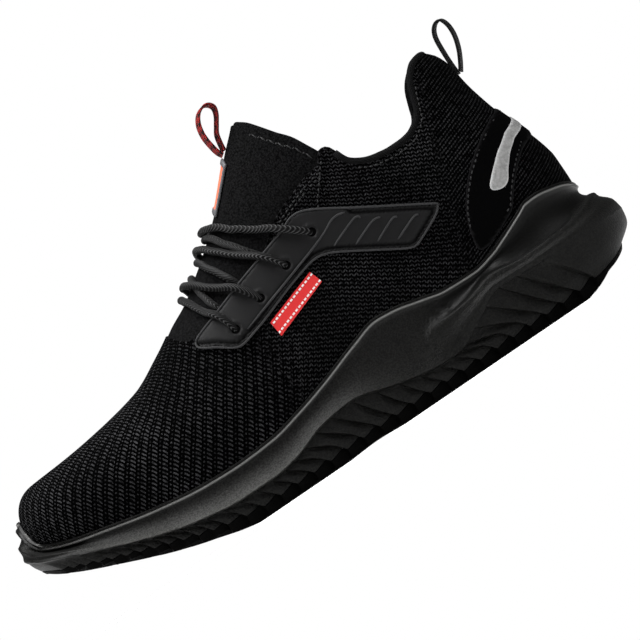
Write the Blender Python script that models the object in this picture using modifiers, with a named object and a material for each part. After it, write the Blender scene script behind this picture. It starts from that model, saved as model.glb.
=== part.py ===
"""Safety sneaker, left shoe, EU 42: knitted bootie on a moulded cup sole, with a steel toe cap.

Metres, +X to the toe, +Y to the outer (lateral) side, +Z up. The origin lies on the floor, under the
flat middle of the heel. One form, the shape of the last with the upper on it, carries every piece: the
upper is its skin, the tongue, toe cap and insole lie inside it, and the overlays lie on it.
"""
import math

import bmesh
import bpy
from mathutils import Vector

# Driving dimensions
LENGTH = 0.300            # sole, heel to toe
BALL_WIDTH = 0.100        # upper across the ball
COLLAR_HEIGHT = 0.129     # heel peak of the collar above the floor
STACK = 0.030             # footbed above the floor at the heel
TOE_SWING = 0.007         # how far the toe lies towards the inner side
WALL = 0.0020             # knitted upper
PAD = 0.0028              # padded tongue
INSOLE = 0.0045
CAP_WALL = 0.0018         # steel
CAP_GAP = 0.0008          # between the steel and the upper over it
EYESTAY = 0.0022
COUNTER = 0.0010
REFLECTOR = 0.0006
TAG = 0.0008
BADGE = 0.0014
BADGE_WIDTH = 0.0212      # across, over the tongue's crest
LACE = 0.0034             # diameter
EYELET = 0.0042           # diameter
RIBBON = 0.0011           # thickness of a pull loop
RIBBON_WIDTH = 0.008
GAP = 0.0003              # between pieces that touch
LAP_GAP = 0.0008          # between curved walls that lap
TONGUE_GAP = 0.0010       # between the throat's edge and the tongue under it
CUP_GAP = 0.0006          # between the upper and the cup round it
LAP = 0.008               # tongue under the edge of the throat
TUCK = 0.005              # how far the upper turns in under the foot
RIB_PITCH = 0.0086        # slanted ribs of the midsole's side
TOE_PITCH = 0.0130        # the same, ahead of the ball
RIB_DEPTH = 0.0026
RIB_SLANT = 0.95          # run to the heel for each unit down
RIB_SPAN = (0.100, 0.955) # where the ribs start and end, as shares of the length
RIB_TURN = 0.715          # where they change to the longer pitch
RIB_GROOVE = 0.52         # where the groove lies in a pitch
SCALLOP = 0.0022          # how far the midsole's lower edge rises between two ribs
LUG_DEPTH = 0.0010        # notches in the outsole's edge
TOE_STEP = 0.0024         # the same, ahead of the ball
LUG_INSET = 0.0011        # outsole's edge inside the midsole's
LUG_REACH = 0.017         # lugs from the sole's edge inwards
LIP = 0.0024              # lip along the top of the cup, past the upper
TOE_LIP = 0.0044          # the same at the tip of the toe
LIP_HEIGHT = 0.0042
SEAM_LAP = 0.0006         # insole's lower edge inside its upper one
CORD_SEGMENTS = 10        # straights in a run of lace
PIN_IN = 0.004            # eyelet cutters, from the form inwards and outwards
PIN_OUT = 0.010
SPAN = 0.090              # outline cutters reach across this far, from just off the middle where one-sided
OFF_MIDDLE = 0.004
WELD = 0.00002            # points nearer than this are one
NORMAL_STEP = 0.0008      # run along the form from which a normal is taken

# Steps of the meshes along the shoe's outline
FOLD_STEP = 0.0035        # folded corner of the collar
CLOSE_STEP = 0.0055
HEEL_STEP = 0.0075
OVERLAY_STEP = 0.0085
SIDE_STEP = 0.0088
TOE_MESH_STEP = 0.0095
EYESTAY_STEP = 0.0098
INSIDE_STEP = 0.0125
VAMP_STEP = 0.0130
THROAT_STEP = 0.0015      # where the throat's edge climbs to the ridge
THROAT_RUN = 0.009
HEEL_REST = 0.073         # middle of the heel's flat spot, from the back of the heel

HEEL_AXIS = 0.173 * LENGTH
TOE_AXIS = 0.800 * LENGTH
TOE_RIDGE = 0.923 * LENGTH
UPPER_TOE = 0.9815 * LENGTH
CUP_TOP = 1.703 * STACK   # highest point of the cup's edge, at the heel
BADGE_SPAN = (0.443, 0.500)     # where the badge lies along the shoe, as shares of its length
HEEL_ARC = 0.195 * LENGTH
TOE_ARC = 0.270 * LENGTH
MID_RUN = TOE_AXIS - HEEL_AXIS
TOTAL = HEEL_ARC + MID_RUN + TOE_ARC
ROUND_HEEL = 2.2
ROUND_TOE = 2.1


def table(columns, scales, rows):
    """Rows of shares, a row for each place along the shoe, turned to lengths column by column."""
    names = columns.split()
    return {name: [row[i] * scales[i] for row in rows] for i, name in enumerate(names)}


# The form's sections. Widths are shares of the ball's width, heights of the collar's height
SECTIONS = table("x lateral medial wide ridge crest side",
                 (LENGTH, BALL_WIDTH, BALL_WIDTH, COLLAR_HEIGHT, COLLAR_HEIGHT, 1, 1), (
    (0.173, 0.345, 0.345, 0.403, 1.667, 2.0, 2.0),
    (0.300, 0.355, 0.325, 0.388, 1.550, 2.0, 1.9),
    (0.350, 0.370, 0.325, 0.388, 1.374, 2.0, 1.75),
    (0.403, 0.385, 0.330, 0.388, 1.192, 2.0, 1.6),
    (0.440, 0.400, 0.345, 0.380, 1.108, 2.0, 1.5),
    (0.507, 0.430, 0.380, 0.364, 0.948, 2.0, 1.45),
    (0.557, 0.460, 0.415, 0.353, 0.853, 2.0, 1.5),
    (0.590, 0.475, 0.440, 0.345, 0.798, 2.05, 1.5),
    (0.650, 0.497, 0.475, 0.337, 0.698, 2.1, 1.6),
    (0.683, 0.500, 0.490, 0.333, 0.654, 2.2, 1.7),
    (0.733, 0.500, 0.500, 0.341, 0.598, 2.3, 1.8),
    (0.800, 0.460, 0.490, 0.357, 0.566, 2.4, 2.0),
    (0.863, 0.460, 0.490, 0.380, 0.546, 2.5, 2.1),
    (0.923, 0.460, 0.490, 0.395, 0.538, 2.5, 2.2),
))
HEEL_BACK = table("z x", (COLLAR_HEIGHT, LENGTH), (
    (0.388, 0.037), (0.465, 0.037), (0.504, 0.040), (0.547, 0.045), (0.615, 0.055), (0.653, 0.062),
    (0.710, 0.071), (0.797, 0.081), (0.860, 0.087), (0.934, 0.095), (0.967, 0.100), (1.000, 0.112),
    (1.047, 0.133),
))
# Edge of the upper at the collar, its folded front corner and the throat
TOPLINE = table("x z", (LENGTH, COLLAR_HEIGHT), (
    (0.067, 1.008), (0.112, 1.000), (0.131, 0.988), (0.143, 0.967), (0.154, 0.934), (0.162, 0.888),
    (0.169, 0.843), (0.187, 0.802), (0.200, 0.788), (0.217, 0.783), (0.233, 0.783), (0.250, 0.788),
    (0.267, 0.797), (0.282, 0.814), (0.295, 0.840), (0.302, 0.880), (0.309, 0.909), (0.317, 0.912),
    (0.323, 0.896), (0.332, 0.874), (0.356, 0.863), (0.383, 0.843), (0.407, 0.823), (0.430, 0.798),
    (0.450, 0.760), (0.467, 0.736), (0.522, 0.696), (0.563, 0.660), (0.600, 0.636), (0.623, 0.628),
    (0.635, 0.640), (0.645, 0.663), (0.653, 0.713),
))
THROAT_END = 0.652 * LENGTH
# Top edge of the tongue, which falls back to the collar on both sides
HEM = table("x z", (LENGTH, COLLAR_HEIGHT), (
    (0.293, 0.791), (0.307, 0.833), (0.323, 0.909), (0.333, 0.953), (0.347, 1.012), (0.361, 1.050),
    (0.378, 1.102), (0.392, 1.144), (0.401, 1.164), (0.413, 1.194),
))
HEM_TOP = 0.404 * LENGTH
# The sole. Heights and reaches past the form's outline are shares of the stack
FOOTBED = table("x z", (LENGTH, STACK), (
    (0.000, 1.000), (0.200, 1.000), (0.300, 0.983), (0.400, 0.900), (0.500, 0.750), (0.600, 0.617),
    (0.667, 0.583), (0.733, 0.617), (0.800, 0.750), (0.867, 0.967), (0.933, 1.233), (0.983, 1.400),
))
FOXING = table("x z", (LENGTH, STACK), (
    (0.030, 1.347), (0.037, 1.500), (0.050, 1.600), (0.067, 1.653), (0.100, 1.703), (0.117, 1.693),
    (0.133, 1.623), (0.167, 1.473), (0.200, 1.350), (0.233, 1.287), (0.283, 1.307), (0.317, 1.383),
    (0.363, 1.487), (0.390, 1.507), (0.432, 1.400), (0.499, 1.180), (0.550, 1.040), (0.607, 0.923),
    (0.667, 0.893), (0.722, 0.917), (0.799, 1.027), (0.876, 1.200), (0.927, 1.333), (0.953, 1.430),
    (0.968, 1.520), (0.975, 1.667), (0.979, 1.867), (0.982, 2.000),
))
SOLE_SCALES = (LENGTH, STACK, STACK)
CREASE = table("x z out", SOLE_SCALES, (
    (0.037, 1.267, 0.060), (0.067, 1.160, 0.073), (0.100, 1.083, 0.083), (0.167, 1.050, 0.083),
    (0.217, 1.110, 0.083), (0.267, 0.987, 0.093), (0.300, 0.950, 0.113), (0.350, 1.033, 0.120),
    (0.417, 1.050, 0.113), (0.500, 0.950, 0.100), (0.600, 0.750, 0.100), (0.667, 0.717, 0.100),
    (0.733, 0.743, 0.100), (0.800, 0.850, 0.100), (0.873, 1.033, 0.107), (0.933, 1.227, 0.140),
    (0.967, 1.400, 0.180), (0.982, 1.667, 0.200),
))
SHOULDER = table("x z out", SOLE_SCALES, (
    (0.037, 1.150, 0.207), (0.067, 1.050, 0.207), (0.100, 0.983, 0.200), (0.167, 0.950, 0.200),
    (0.217, 0.983, 0.200), (0.267, 0.883, 0.187), (0.300, 0.833, 0.167), (0.350, 0.867, 0.143),
    (0.417, 0.883, 0.133), (0.500, 0.833, 0.133), (0.600, 0.623, 0.133), (0.667, 0.567, 0.140),
    (0.733, 0.607, 0.140), (0.800, 0.727, 0.140), (0.873, 0.950, 0.140), (0.933, 1.180, 0.160),
    (0.967, 1.350, 0.197), (0.982, 1.533, 0.207),
))
RIB_TOP = table("x z out", SOLE_SCALES, (
    (0.037, 0.833, 0.380), (0.067, 0.833, 0.320), (0.100, 0.817, 0.273), (0.167, 0.840, 0.233),
    (0.217, 0.860, 0.227), (0.267, 0.633, 0.227), (0.317, 0.417, 0.200), (0.360, 0.433, 0.180),
    (0.417, 0.550, 0.167), (0.483, 0.717, 0.160), (0.533, 0.667, 0.160), (0.593, 0.483, 0.167),
    (0.633, 0.427, 0.167), (0.683, 0.427, 0.167), (0.760, 0.527, 0.167), (0.837, 0.743, 0.160),
    (0.887, 0.933, 0.160), (0.927, 1.100, 0.167), (0.967, 1.283, 0.190), (0.982, 1.383, 0.190),
))
RIB_FOOT = table("x z out", SOLE_SCALES, (
    (0.037, 0.600, 0.320), (0.067, 0.517, 0.280), (0.100, 0.433, 0.240), (0.167, 0.367, 0.200),
    (0.267, 0.333, 0.187), (0.317, 0.293, 0.173), (0.417, 0.333, 0.160), (0.533, 0.367, 0.153),
    (0.620, 0.293, 0.153), (0.667, 0.293, 0.153), (0.717, 0.343, 0.153), (0.767, 0.440, 0.150),
    (0.817, 0.600, 0.147), (0.867, 0.767, 0.140), (0.917, 0.983, 0.140), (0.950, 1.133, 0.147),
    (0.970, 1.233, 0.153), (0.982, 1.293, 0.157),
))
BASE = table("x z out", SOLE_SCALES, (
    (0.037, 0.417, 0.093), (0.050, 0.350, 0.117), (0.067, 0.283, 0.133), (0.100, 0.200, 0.117),
    (0.133, 0.167, 0.100), (0.173, 0.153, 0.100), (0.300, 0.153, 0.100), (0.400, 0.167, 0.093),
    (0.500, 0.167, 0.093), (0.600, 0.153, 0.100), (0.667, 0.157, 0.107), (0.717, 0.220, 0.107),
    (0.767, 0.333, 0.107), (0.817, 0.493, 0.100), (0.867, 0.673, 0.093), (0.917, 0.863, 0.073),
    (0.950, 1.007, 0.067), (0.970, 1.117, 0.073), (0.982, 1.200, 0.100),
))
# The outsole's underside: flat at heel and forefoot, hollow between, curved up at both ends
UNDER = table("x z", (LENGTH, STACK), (
    (0.013, 0.493), (0.027, 0.400), (0.040, 0.347), (0.053, 0.280), (0.067, 0.200), (0.080, 0.130),
    (0.093, 0.073), (0.107, 0.023), (0.120, 0.000), (0.427, 0.000), (0.483, 0.027), (0.540, 0.000),
    (0.680, 0.000), (0.707, 0.040), (0.740, 0.127), (0.783, 0.247), (0.817, 0.360), (0.850, 0.487),
    (0.883, 0.620), (0.917, 0.760), (0.950, 0.907), (0.973, 1.033), (0.990, 1.150),
))


def read(rows, name, place, key="x"):
    """A smooth curve through a table's column, level past its ends, with no overshoot."""
    xs, ys = rows[key], rows[name]
    if place <= xs[0]:
        return ys[0]
    if place >= xs[-1]:
        return ys[-1]
    i = next(k for k in range(len(xs) - 1) if place <= xs[k + 1])

    def chord(k):
        return (ys[k + 1] - ys[k]) / (xs[k + 1] - xs[k])

    def slope(k):
        if k == 0 or k == len(xs) - 1:
            return chord(min(k, len(xs) - 2))
        before, after = chord(k - 1), chord(k)
        return 0.0 if before * after <= 0 else 2 * before * after / (before + after)

    run = xs[i + 1] - xs[i]
    s = (place - xs[i]) / run
    return (ys[i] * (1 + 2 * s) * (1 - s) ** 2 + slope(i) * run * s * (1 - s) ** 2
            + ys[i + 1] * s * s * (3 - 2 * s) + slope(i + 1) * run * s * s * (s - 1))


def ease(share):
    """Smooth step from 0 to 1."""
    share = min(1.0, max(0.0, share))
    return share * share * (3 - 2 * share)


def swing(x):
    """Middle line of the last, which curves to the inner side from the waist on."""
    waist = 0.45 * LENGTH
    return -TOE_SWING * (max(0.0, x - waist) / (LENGTH - waist)) ** 2


def oval(angle, ahead, across, power):
    """Reach of a rounded oval, at an angle from its length."""
    return (abs(math.cos(angle) / ahead) ** power + abs(math.sin(angle) / across) ** power) ** (-1 / power)


def heel_reach(z):
    """How far the back of the heel lies behind the heel's axis at a height."""
    return HEEL_AXIS - read(HEEL_BACK, "x", z, "z")


class Station:
    """An upright section of the form, at a place along its outline from the heel's back to the toe."""

    def __init__(self, place, side):
        self.place, self.side = place, side
        self.turn = None
        toe_place = place - HEEL_ARC - MID_RUN
        if place < HEEL_ARC:
            self.turn = math.pi / 2 * place / HEEL_ARC
            spine = HEEL_AXIS
            self.half = self.width(spine)
            self.aim = Vector((-math.cos(self.turn), side * math.sin(self.turn), 0))
            self.reach = oval(self.turn, heel_reach(0), self.half, ROUND_HEEL)
        elif toe_place <= 0:
            spine = HEEL_AXIS + place - HEEL_ARC
            self.aim = Vector((0, side, 0))
            self.reach = self.width(spine)
        else:
            turn = math.pi / 2 * toe_place / TOE_ARC
            spine = TOE_AXIS + (TOE_RIDGE - TOE_AXIS) * toe_place / TOE_ARC
            reach = oval(turn, self.width(TOE_AXIS), UPPER_TOE - TOE_AXIS, ROUND_TOE)
            x = TOE_AXIS + reach * math.sin(turn)
            edge = Vector((x, swing(x) + side * reach * math.cos(turn), 0))
            out = edge - Vector((spine, swing(spine), 0))
            self.reach = out.length
            self.aim = out.normalized()
        self.spine = Vector((spine, swing(spine), 0))
        self.x = (self.spine + self.aim * self.reach).x
        self.wide, self.ridge, self.crest, self.bulge = (
            read(SECTIONS, name, spine) for name in ("wide", "ridge", "crest", "side"))
        self.foot = read(FOOTBED, "z", self.x) + GAP

    def width(self, x):
        return read(SECTIONS, "lateral" if self.side > 0 else "medial", x)

    def out(self, z, share):
        """Reach at a height, where the section has narrowed to a share of its width."""
        if self.turn is None:
            return self.reach * share
        return oval(self.turn, heel_reach(z), self.half * max(share, 0.01), ROUND_HEEL)

    def point(self, rise, clear=0.0):
        """Point at an angle of rise: -90 degrees at the foot's edge, 0 at the widest, 90 at the ridge."""
        sine, cosine = abs(math.sin(rise)), max(0.0, math.cos(rise))
        if rise < 0:
            z = self.wide - (self.wide - self.foot) * sine
            reach = self.out(self.wide, 1) - TUCK * (1 - cosine)
        else:
            z = self.wide + (self.ridge - self.wide) * sine ** (2 / self.bulge)
            reach = self.out(z, cosine ** (2 / self.crest))
        return self.spine + self.aim * (reach + clear) + Vector((0, 0, z))

    def rise_at(self, z):
        """Angle of rise at a height."""
        if z < self.wide:
            return -math.asin(min(1.0, (self.wide - z) / (self.wide - self.foot)))
        share = min(1.0, (z - self.wide) / (self.ridge - self.wide))
        return math.asin(share ** (self.bulge / 2))

    def rise_under(self, edge, end):
        """Angle of rise where the section meets an edge line, or the ridge past the line's end."""
        if self.x > end:
            return math.pi / 2
        low, high = self.rise_at(self.wide), math.pi / 2
        for _ in range(40):
            middle = (low + high) / 2
            at = self.point(middle)
            if at.z > read(edge, "z", at.x):
                high = middle
            else:
                low = middle
        return low


def form_point(place, side, rise, lift=0.0):
    """Point of the form, lifted along its normal."""
    here = Station(place, side)
    at = here.point(rise)
    if lift == 0.0:
        return at
    back, front = max(0.0, place - NORMAL_STEP), min(TOTAL, place + NORMAL_STEP)
    along = Station(front, side).point(rise) - Station(back, side).point(rise)
    if rise > math.radians(89.5):
        normal = Vector((-along.z, 0, along.x))
    else:
        tilt = math.radians(0.6)
        up = here.point(min(rise + tilt, math.pi / 2)) - here.point(rise - tilt)
        normal = along.cross(up) * -side
        if place == 0.0 or place == TOTAL:
            normal.y = 0
    return at + normal.normalized() * lift


def place_at(x, side=1):
    """Place along the outline whose section stands at x."""
    low, high = 0.0, TOTAL
    for _ in range(40):
        middle = (low + high) / 2
        if Station(middle, side).x < x:
            low = middle
        else:
            high = middle
    return low


def side_rise(place, side, z):
    return Station(place, side).rise_at(z)


def spread(start, end, step):
    """Places from start to end, evenly spaced by about a step."""
    count = max(1, round((end - start) / step))
    return [start + (end - start) * k / count for k in range(count + 1)]


collection = bpy.data.collections.new("safety_sneaker")
cutters = bpy.data.collections.new("cutters")


def clear_scene():
    for old in list(bpy.data.objects):
        bpy.data.objects.remove(old, do_unlink=True)
    for group in (collection, cutters):
        bpy.context.scene.collection.children.link(group)


def add_object(name, bm, cutter=False):
    mesh = bpy.data.meshes.new(name)
    bm.to_mesh(mesh)
    bm.free()
    piece = bpy.data.objects.new(name, mesh)
    (cutters if cutter else collection).objects.link(piece)
    if cutter:
        piece.hide_render = True
        piece.display_type = "WIRE"
    else:
        mesh.shade_smooth()
        mesh.set_sharp_from_angle(angle=math.radians(35))
    return piece


def paint(piece, colour, roughness, metallic=0.0):
    material = bpy.data.materials.new(piece.name + "_finish")
    material.use_nodes = True
    shader = material.node_tree.nodes["Principled BSDF"]
    shader.inputs["Base Color"].default_value = (*colour, 1)
    shader.inputs["Roughness"].default_value = roughness
    shader.inputs["Metallic"].default_value = metallic
    piece.data.materials.append(material)
    return piece


def lay_quads(bm, columns):
    for left, right in zip(columns, columns[1:]):
        for k in range(len(left) - 1):
            bm.faces.new((left[k], left[k + 1], right[k + 1], right[k]))


def rises(bottom, top, rows, under):
    """Angles of a column, even from bottom to top, or with a count of rows under the widest height."""
    if under:
        return [bottom * (1 - k / under) for k in range(under)] + [top * k / rows for k in range(rows + 1)]
    return [bottom + (top - bottom) * k / rows for k in range(rows + 1)]


def form_sheet(places, low, high, rows, lift, sides=(1, -1), under=0):
    """Open sheet on the form between two angles of rise, each a function of place and side."""
    bm = bmesh.new()
    for side in sides:
        columns = []
        for place in places:
            angles = rises(low(place, side), high(place, side), rows, under)
            columns.append([bm.verts.new(form_point(place, side, angle, lift)) for angle in angles])
        lay_quads(bm, columns if side > 0 else columns[::-1])
    bmesh.ops.remove_doubles(bm, verts=bm.verts, dist=WELD)
    return bm


def thicken(piece, thickness, outwards=False):
    solid = piece.modifiers.new("wall", "SOLIDIFY")
    solid.thickness = thickness
    solid.offset = 1 if outwards else -1
    solid.use_even_offset = True
    return piece


def cut(piece, cutter, operation="DIFFERENCE"):
    modifier = piece.modifiers.new(operation.lower(), "BOOLEAN")
    modifier.operation = operation
    modifier.object = cutter
    modifier.solver = "EXACT"
    return piece


def prism(name, outline, near, far):
    """Cutter: an outline in the side view, drawn out across the shoe."""
    bm = bmesh.new()
    face = bm.faces.new([bm.verts.new((x * LENGTH, near, z * COLLAR_HEIGHT)) for x, z in outline])
    drawn = bmesh.ops.extrude_face_region(bm, geom=[face])
    moved = [v for v in drawn["geom"] if isinstance(v, bmesh.types.BMVert)]
    bmesh.ops.translate(bm, verts=moved, vec=(0, far - near, 0))
    bmesh.ops.recalc_face_normals(bm, faces=bm.faces)
    return add_object(name, bm, cutter=True)


def ring_solid(name, rings):
    """Closed solid from rings, outside row by row; each ring is a lateral and a medial half."""
    bm = bmesh.new()
    grid = []
    for lateral, medial in rings:
        left = [bm.verts.new(p) for p in lateral]
        right = [left[0]] + [bm.verts.new(p) for p in medial[1:-1]] + [left[-1]]
        grid.append((left, right))
    for (left, right), (next_left, next_right) in zip(grid, grid[1:]):
        lay_quads(bm, list(zip(left, next_left)))
        lay_quads(bm, list(zip(right, next_right)))
    for left, right in (grid[0], grid[-1]):
        for k in range(len(left) - 1):
            corners = (left[k], left[k + 1], right[k + 1], right[k])
            bm.faces.new(list(dict.fromkeys(corners)))
    bmesh.ops.recalc_face_normals(bm, faces=bm.faces)
    return add_object(name, bm)


def make_upper():
    """Knitted bootie: heel to toe, open at the collar, along the throat and underneath."""
    corner = place_at(TOPLINE["x"][14]), place_at(TOPLINE["x"][19])
    throat = place_at(THROAT_END)
    turn = throat - THROAT_RUN
    places = spread(0, HEEL_ARC, HEEL_STEP)[:-1] + spread(HEEL_ARC, corner[0], CLOSE_STEP)[:-1]
    places += spread(*corner, FOLD_STEP)[:-1] + spread(corner[1], turn, SIDE_STEP)[:-1]
    places += spread(turn, throat, THROAT_STEP)[:-1] + spread(throat, TOTAL - TOE_ARC, VAMP_STEP)[:-1]
    places += spread(TOTAL - TOE_ARC, TOTAL, TOE_MESH_STEP)
    foot = lambda place, side: -math.pi / 2
    edge = lambda place, side: Station(place, side).rise_under(TOPLINE, THROAT_END)
    upper = add_object("upper", form_sheet(places, foot, edge, 5, 0.0, under=4))
    return paint(thicken(upper, WALL), (0.012, 0.012, 0.013), 0.85)


def make_tongue():
    """Smooth insert and tongue, lapped under the throat's edge and high in front of the ankle."""
    start, top = place_at(0.310 * LENGTH), place_at(HEM_TOP)
    throat, end = place_at(THROAT_END), place_at(THROAT_END + 0.7 * LAP)
    places = spread(start, top, CLOSE_STEP)[:-1] + spread(top, throat, SIDE_STEP)[:-1]
    places += spread(throat, end, FOLD_STEP)

    def bottom(place, side):
        here = Station(place, side)
        limit = Station(min(place, throat - 4 * THROAT_STEP), side)
        edge = limit.point(limit.rise_under(TOPLINE, THROAT_END)).z
        return here.rise_at(edge - LAP)

    hem = lambda place, side: Station(place, side).rise_under(HEM, HEM_TOP)
    tongue = add_object("tongue", form_sheet(places, bottom, hem, 5, -(WALL + TONGUE_GAP)))
    return paint(thicken(tongue, PAD), (0.010, 0.010, 0.011), 0.7)


def make_toe_cap():
    """Steel cap inside the toe, open at the back and below."""
    places = spread(TOTAL - TOE_ARC, TOTAL, INSIDE_STEP)
    bottom = lambda place, side: side_rise(place, side, Station(place, side).foot + INSOLE + 1.5 * LAP_GAP)
    top = lambda place, side: math.pi / 2
    cap = add_object("toe_cap", form_sheet(places, bottom, top, 5, -(WALL + CAP_GAP)))
    return paint(thicken(cap, CAP_WALL), (0.45, 0.45, 0.46), 0.4, 1.0)


def wall_ring(places, clear, height):
    """Ring on the form at a height that is a function of the station, moved out level."""
    halves = []
    for side in (1, -1):
        half = []
        for place in places:
            here = Station(place, side)
            z = height(here)
            at = here.point(here.rise_at(z), clear)
            half.append(Vector((at.x, at.y, z)))
        halves.append(half)
    return halves


def make_insole():
    places = spread(0, TOTAL, INSIDE_STEP)
    inside = -(WALL + 1.5 * LAP_GAP)
    low = wall_ring(places, inside - SEAM_LAP, lambda here: here.foot)
    high = wall_ring(places, inside, lambda here: here.foot + INSOLE)
    return paint(ring_solid("insole", [low, high]), (0.03, 0.03, 0.03), 0.9)


def rib_places():
    """Columns round the sole with how deep each lies: ribs alternate from the heel's side to the toe."""
    first, last, turn = (place_at(x * LENGTH) for x in (*RIB_SPAN, RIB_TURN))
    columns = [(place, 0.0) for place in spread(0, first, CLOSE_STEP)[:-1]]
    place = first
    while place < last:
        pitch = RIB_PITCH if place < turn else TOE_PITCH
        columns += [(place, 0.0), (place + RIB_GROOVE * pitch, 1.0)]
        place += pitch
    return columns + [(rest, 0.0) for rest in spread(place, TOTAL, CLOSE_STEP)]


def fade(place):
    """0 at the back of the heel and the tip of the toe, 1 along the sides."""
    return ease(min(place / (0.8 * HEEL_ARC), (TOTAL - place) / (0.35 * TOE_ARC)))


def leaning(place, side, level):
    """Station of a column at a level: the columns lean forward with the ribs as they rise from the base."""
    x = Station(place, side).x
    rise = read(level, "z", x) - read(BASE, "z", x)
    return Station(min(place + RIB_SLANT * rise * fade(place), TOTAL), side)


def sole_ring(columns, level, depth, scallop=0.0):
    """Ring of the sole's outer side: a level's height and reach, with slanted ribs and a scalloped edge."""
    halves = []
    for side in (1, -1):
        half = []
        for place, groove in columns:
            here = leaning(place, side, level)
            cut_in = groove * fade(place)
            reach = here.reach + read(level, "out", here.x) - depth * cut_in
            at = here.spine + here.aim * reach
            half.append(Vector((at.x, at.y, read(level, "z", here.x) + scallop * cut_in)))
        halves.append(half)
    return halves


def lip_ring(columns, out, toe_out, drop):
    """Ring of the lip along the top of the cup, thicker at the toe's bumper."""
    halves = []
    for side in (1, -1):
        half = []
        for place, _ in columns:
            here = leaning(place, side, RIB_TOP)
            share = max(0.0, (here.x - 0.90 * LENGTH) / (UPPER_TOE - 0.90 * LENGTH)) ** 2
            top = read(FOXING, "z", here.x) - drop
            reach = here.point(here.rise_at(top)) - here.spine
            reach = math.hypot(reach.x, reach.y) + out + (toe_out - out) * share
            at = here.spine + here.aim * reach
            half.append(Vector((at.x, at.y, top)))
        halves.append(half)
    return halves


def cup_ring(columns, share):
    """Ring on the cup's inside, a share of the way from its floor's edge up to the lip."""
    halves = []
    for side in (1, -1):
        half = []
        for place, _ in columns:
            here = leaning(place, side, RIB_TOP)
            top = here.rise_at(read(FOXING, "z", here.x))
            at = here.point(-math.pi / 2 + (top + math.pi / 2) * share, CUP_GAP)
            half.append(at - Vector((0, 0, GAP * (1 - share))))
        halves.append(half)
    return halves


def make_midsole():
    """Moulded cup: lip, concave panel, crease, flared shoulder and slanted ribs, round a level floor."""
    columns = rib_places()
    rings = [cup_ring(columns, k / 3) for k in range(4)] + [
        lip_ring(columns, 0.83 * LIP, 0.70 * TOE_LIP, 0.07 * LIP_HEIGHT),
        lip_ring(columns, LIP, 1.20 * TOE_LIP, 0.80 * LIP_HEIGHT),
        sole_ring(columns, CREASE, 0.0),
        sole_ring(columns, SHOULDER, 0.0),
        sole_ring(columns, RIB_TOP, 0.15 * RIB_DEPTH),
        sole_ring(columns, RIB_FOOT, RIB_DEPTH),
        sole_ring(columns, BASE, 0.8 * RIB_DEPTH, SCALLOP),
    ]
    return paint(ring_solid("midsole", rings), (0.02, 0.02, 0.021), 0.45)


def make_outsole():
    """Rubber layer under the midsole: lugs round its edge, a level tread between them."""
    columns = rib_places()
    base = sole_ring(columns, BASE, 0.8 * RIB_DEPTH, SCALLOP)
    top = [[p - Vector((0, 0, GAP)) for p in half] for half in base]
    toe = place_at(RIB_TURN * LENGTH)
    edge, inner = [], []
    for half, side in zip(base, (1, -1)):
        row, inner_row = [], []
        for (place, groove), p in zip(columns, half):
            here = Station(place, side)
            low = p - here.aim * LUG_INSET * (1 - groove)
            notch = LUG_DEPTH if place < toe else TOE_STEP
            z = read(UNDER, "z", low.x) + notch * groove * fade(place)
            row.append(Vector((low.x, low.y, min(z, p.z - 2 * LUG_INSET))))
            deep = p - here.aim * min(LUG_REACH, 0.8 * here.reach)
            inner_row.append(Vector((deep.x, deep.y, read(UNDER, "z", deep.x))))
        edge.append(row)
        inner.append(inner_row)
    return paint(ring_solid("outsole", [top, edge, inner]), (0.014, 0.014, 0.014), 0.75)


# Overlays, as outlines in the side view: x a share of the length, z of the collar's height
EYESTAY_OUTLINE = (
    (0.615, 0.618), (0.564, 0.657), (0.522, 0.692), (0.467, 0.731), (0.442, 0.750), (0.422, 0.763),
    (0.411, 0.778), (0.397, 0.783), (0.382, 0.774), (0.355, 0.737), (0.325, 0.692), (0.272, 0.618),
    (0.223, 0.550), (0.221, 0.543), (0.231, 0.518), (0.278, 0.469), (0.289, 0.472), (0.328, 0.527),
    (0.378, 0.598), (0.392, 0.614), (0.411, 0.624), (0.439, 0.608), (0.467, 0.588), (0.494, 0.566),
    (0.522, 0.543), (0.550, 0.524), (0.569, 0.513), (0.583, 0.530), (0.597, 0.557), (0.617, 0.582),
    (0.621, 0.598),
)
EYELETS = ((0.561, 0.572), (0.507, 0.614), (0.450, 0.657), (0.393, 0.702))
TAG_OUTLINE = ((0.515, 0.529), (0.4275, 0.595), (0.421, 0.547), (0.5125, 0.472))
# Heights of these two are shares of the collar's rise above the cup, so that they stay clear of the cup
COUNTER_OUTLINE = (
    (-0.020, 0.523), (0.068, 0.512), (0.087, 0.485), (0.110, 0.435), (0.136, 0.368), (0.157, 0.303),
    (0.177, 0.220), (0.192, 0.141), (0.203, 0.050), (0.212, -0.088), (0.200, -0.109), (0.166, -0.063),
    (0.147, -0.030), (0.136, -0.007), (0.131, 0.021), (0.110, 0.121), (0.090, 0.194), (0.072, 0.250),
    (0.046, 0.283), (-0.020, 0.296),
)
REFLECTOR_OUTLINE = (
    (-0.020, 0.440), (0.060, 0.416), (0.085, 0.368), (0.110, 0.298), (0.130, 0.230), (0.146, 0.169),
    (0.147, 0.141), (0.137, 0.119), (0.126, 0.117), (0.118, 0.139), (0.110, 0.189), (0.095, 0.258),
    (0.077, 0.313), (0.054, 0.358), (-0.020, 0.374),
)
# How far each overlay's slab reaches along the shoe and up, before it is cut to its outline
EYESTAY_SPAN, EYESTAY_HEIGHTS = (0.205, 0.635), (0.44, 0.81)
COUNTER_SPAN, COUNTER_HEIGHTS = (0.0, 0.225), (0.30, 0.75)
TAG_SPAN, TAG_HEIGHTS = (0.41, 0.53), (0.45, 0.62)


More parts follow.
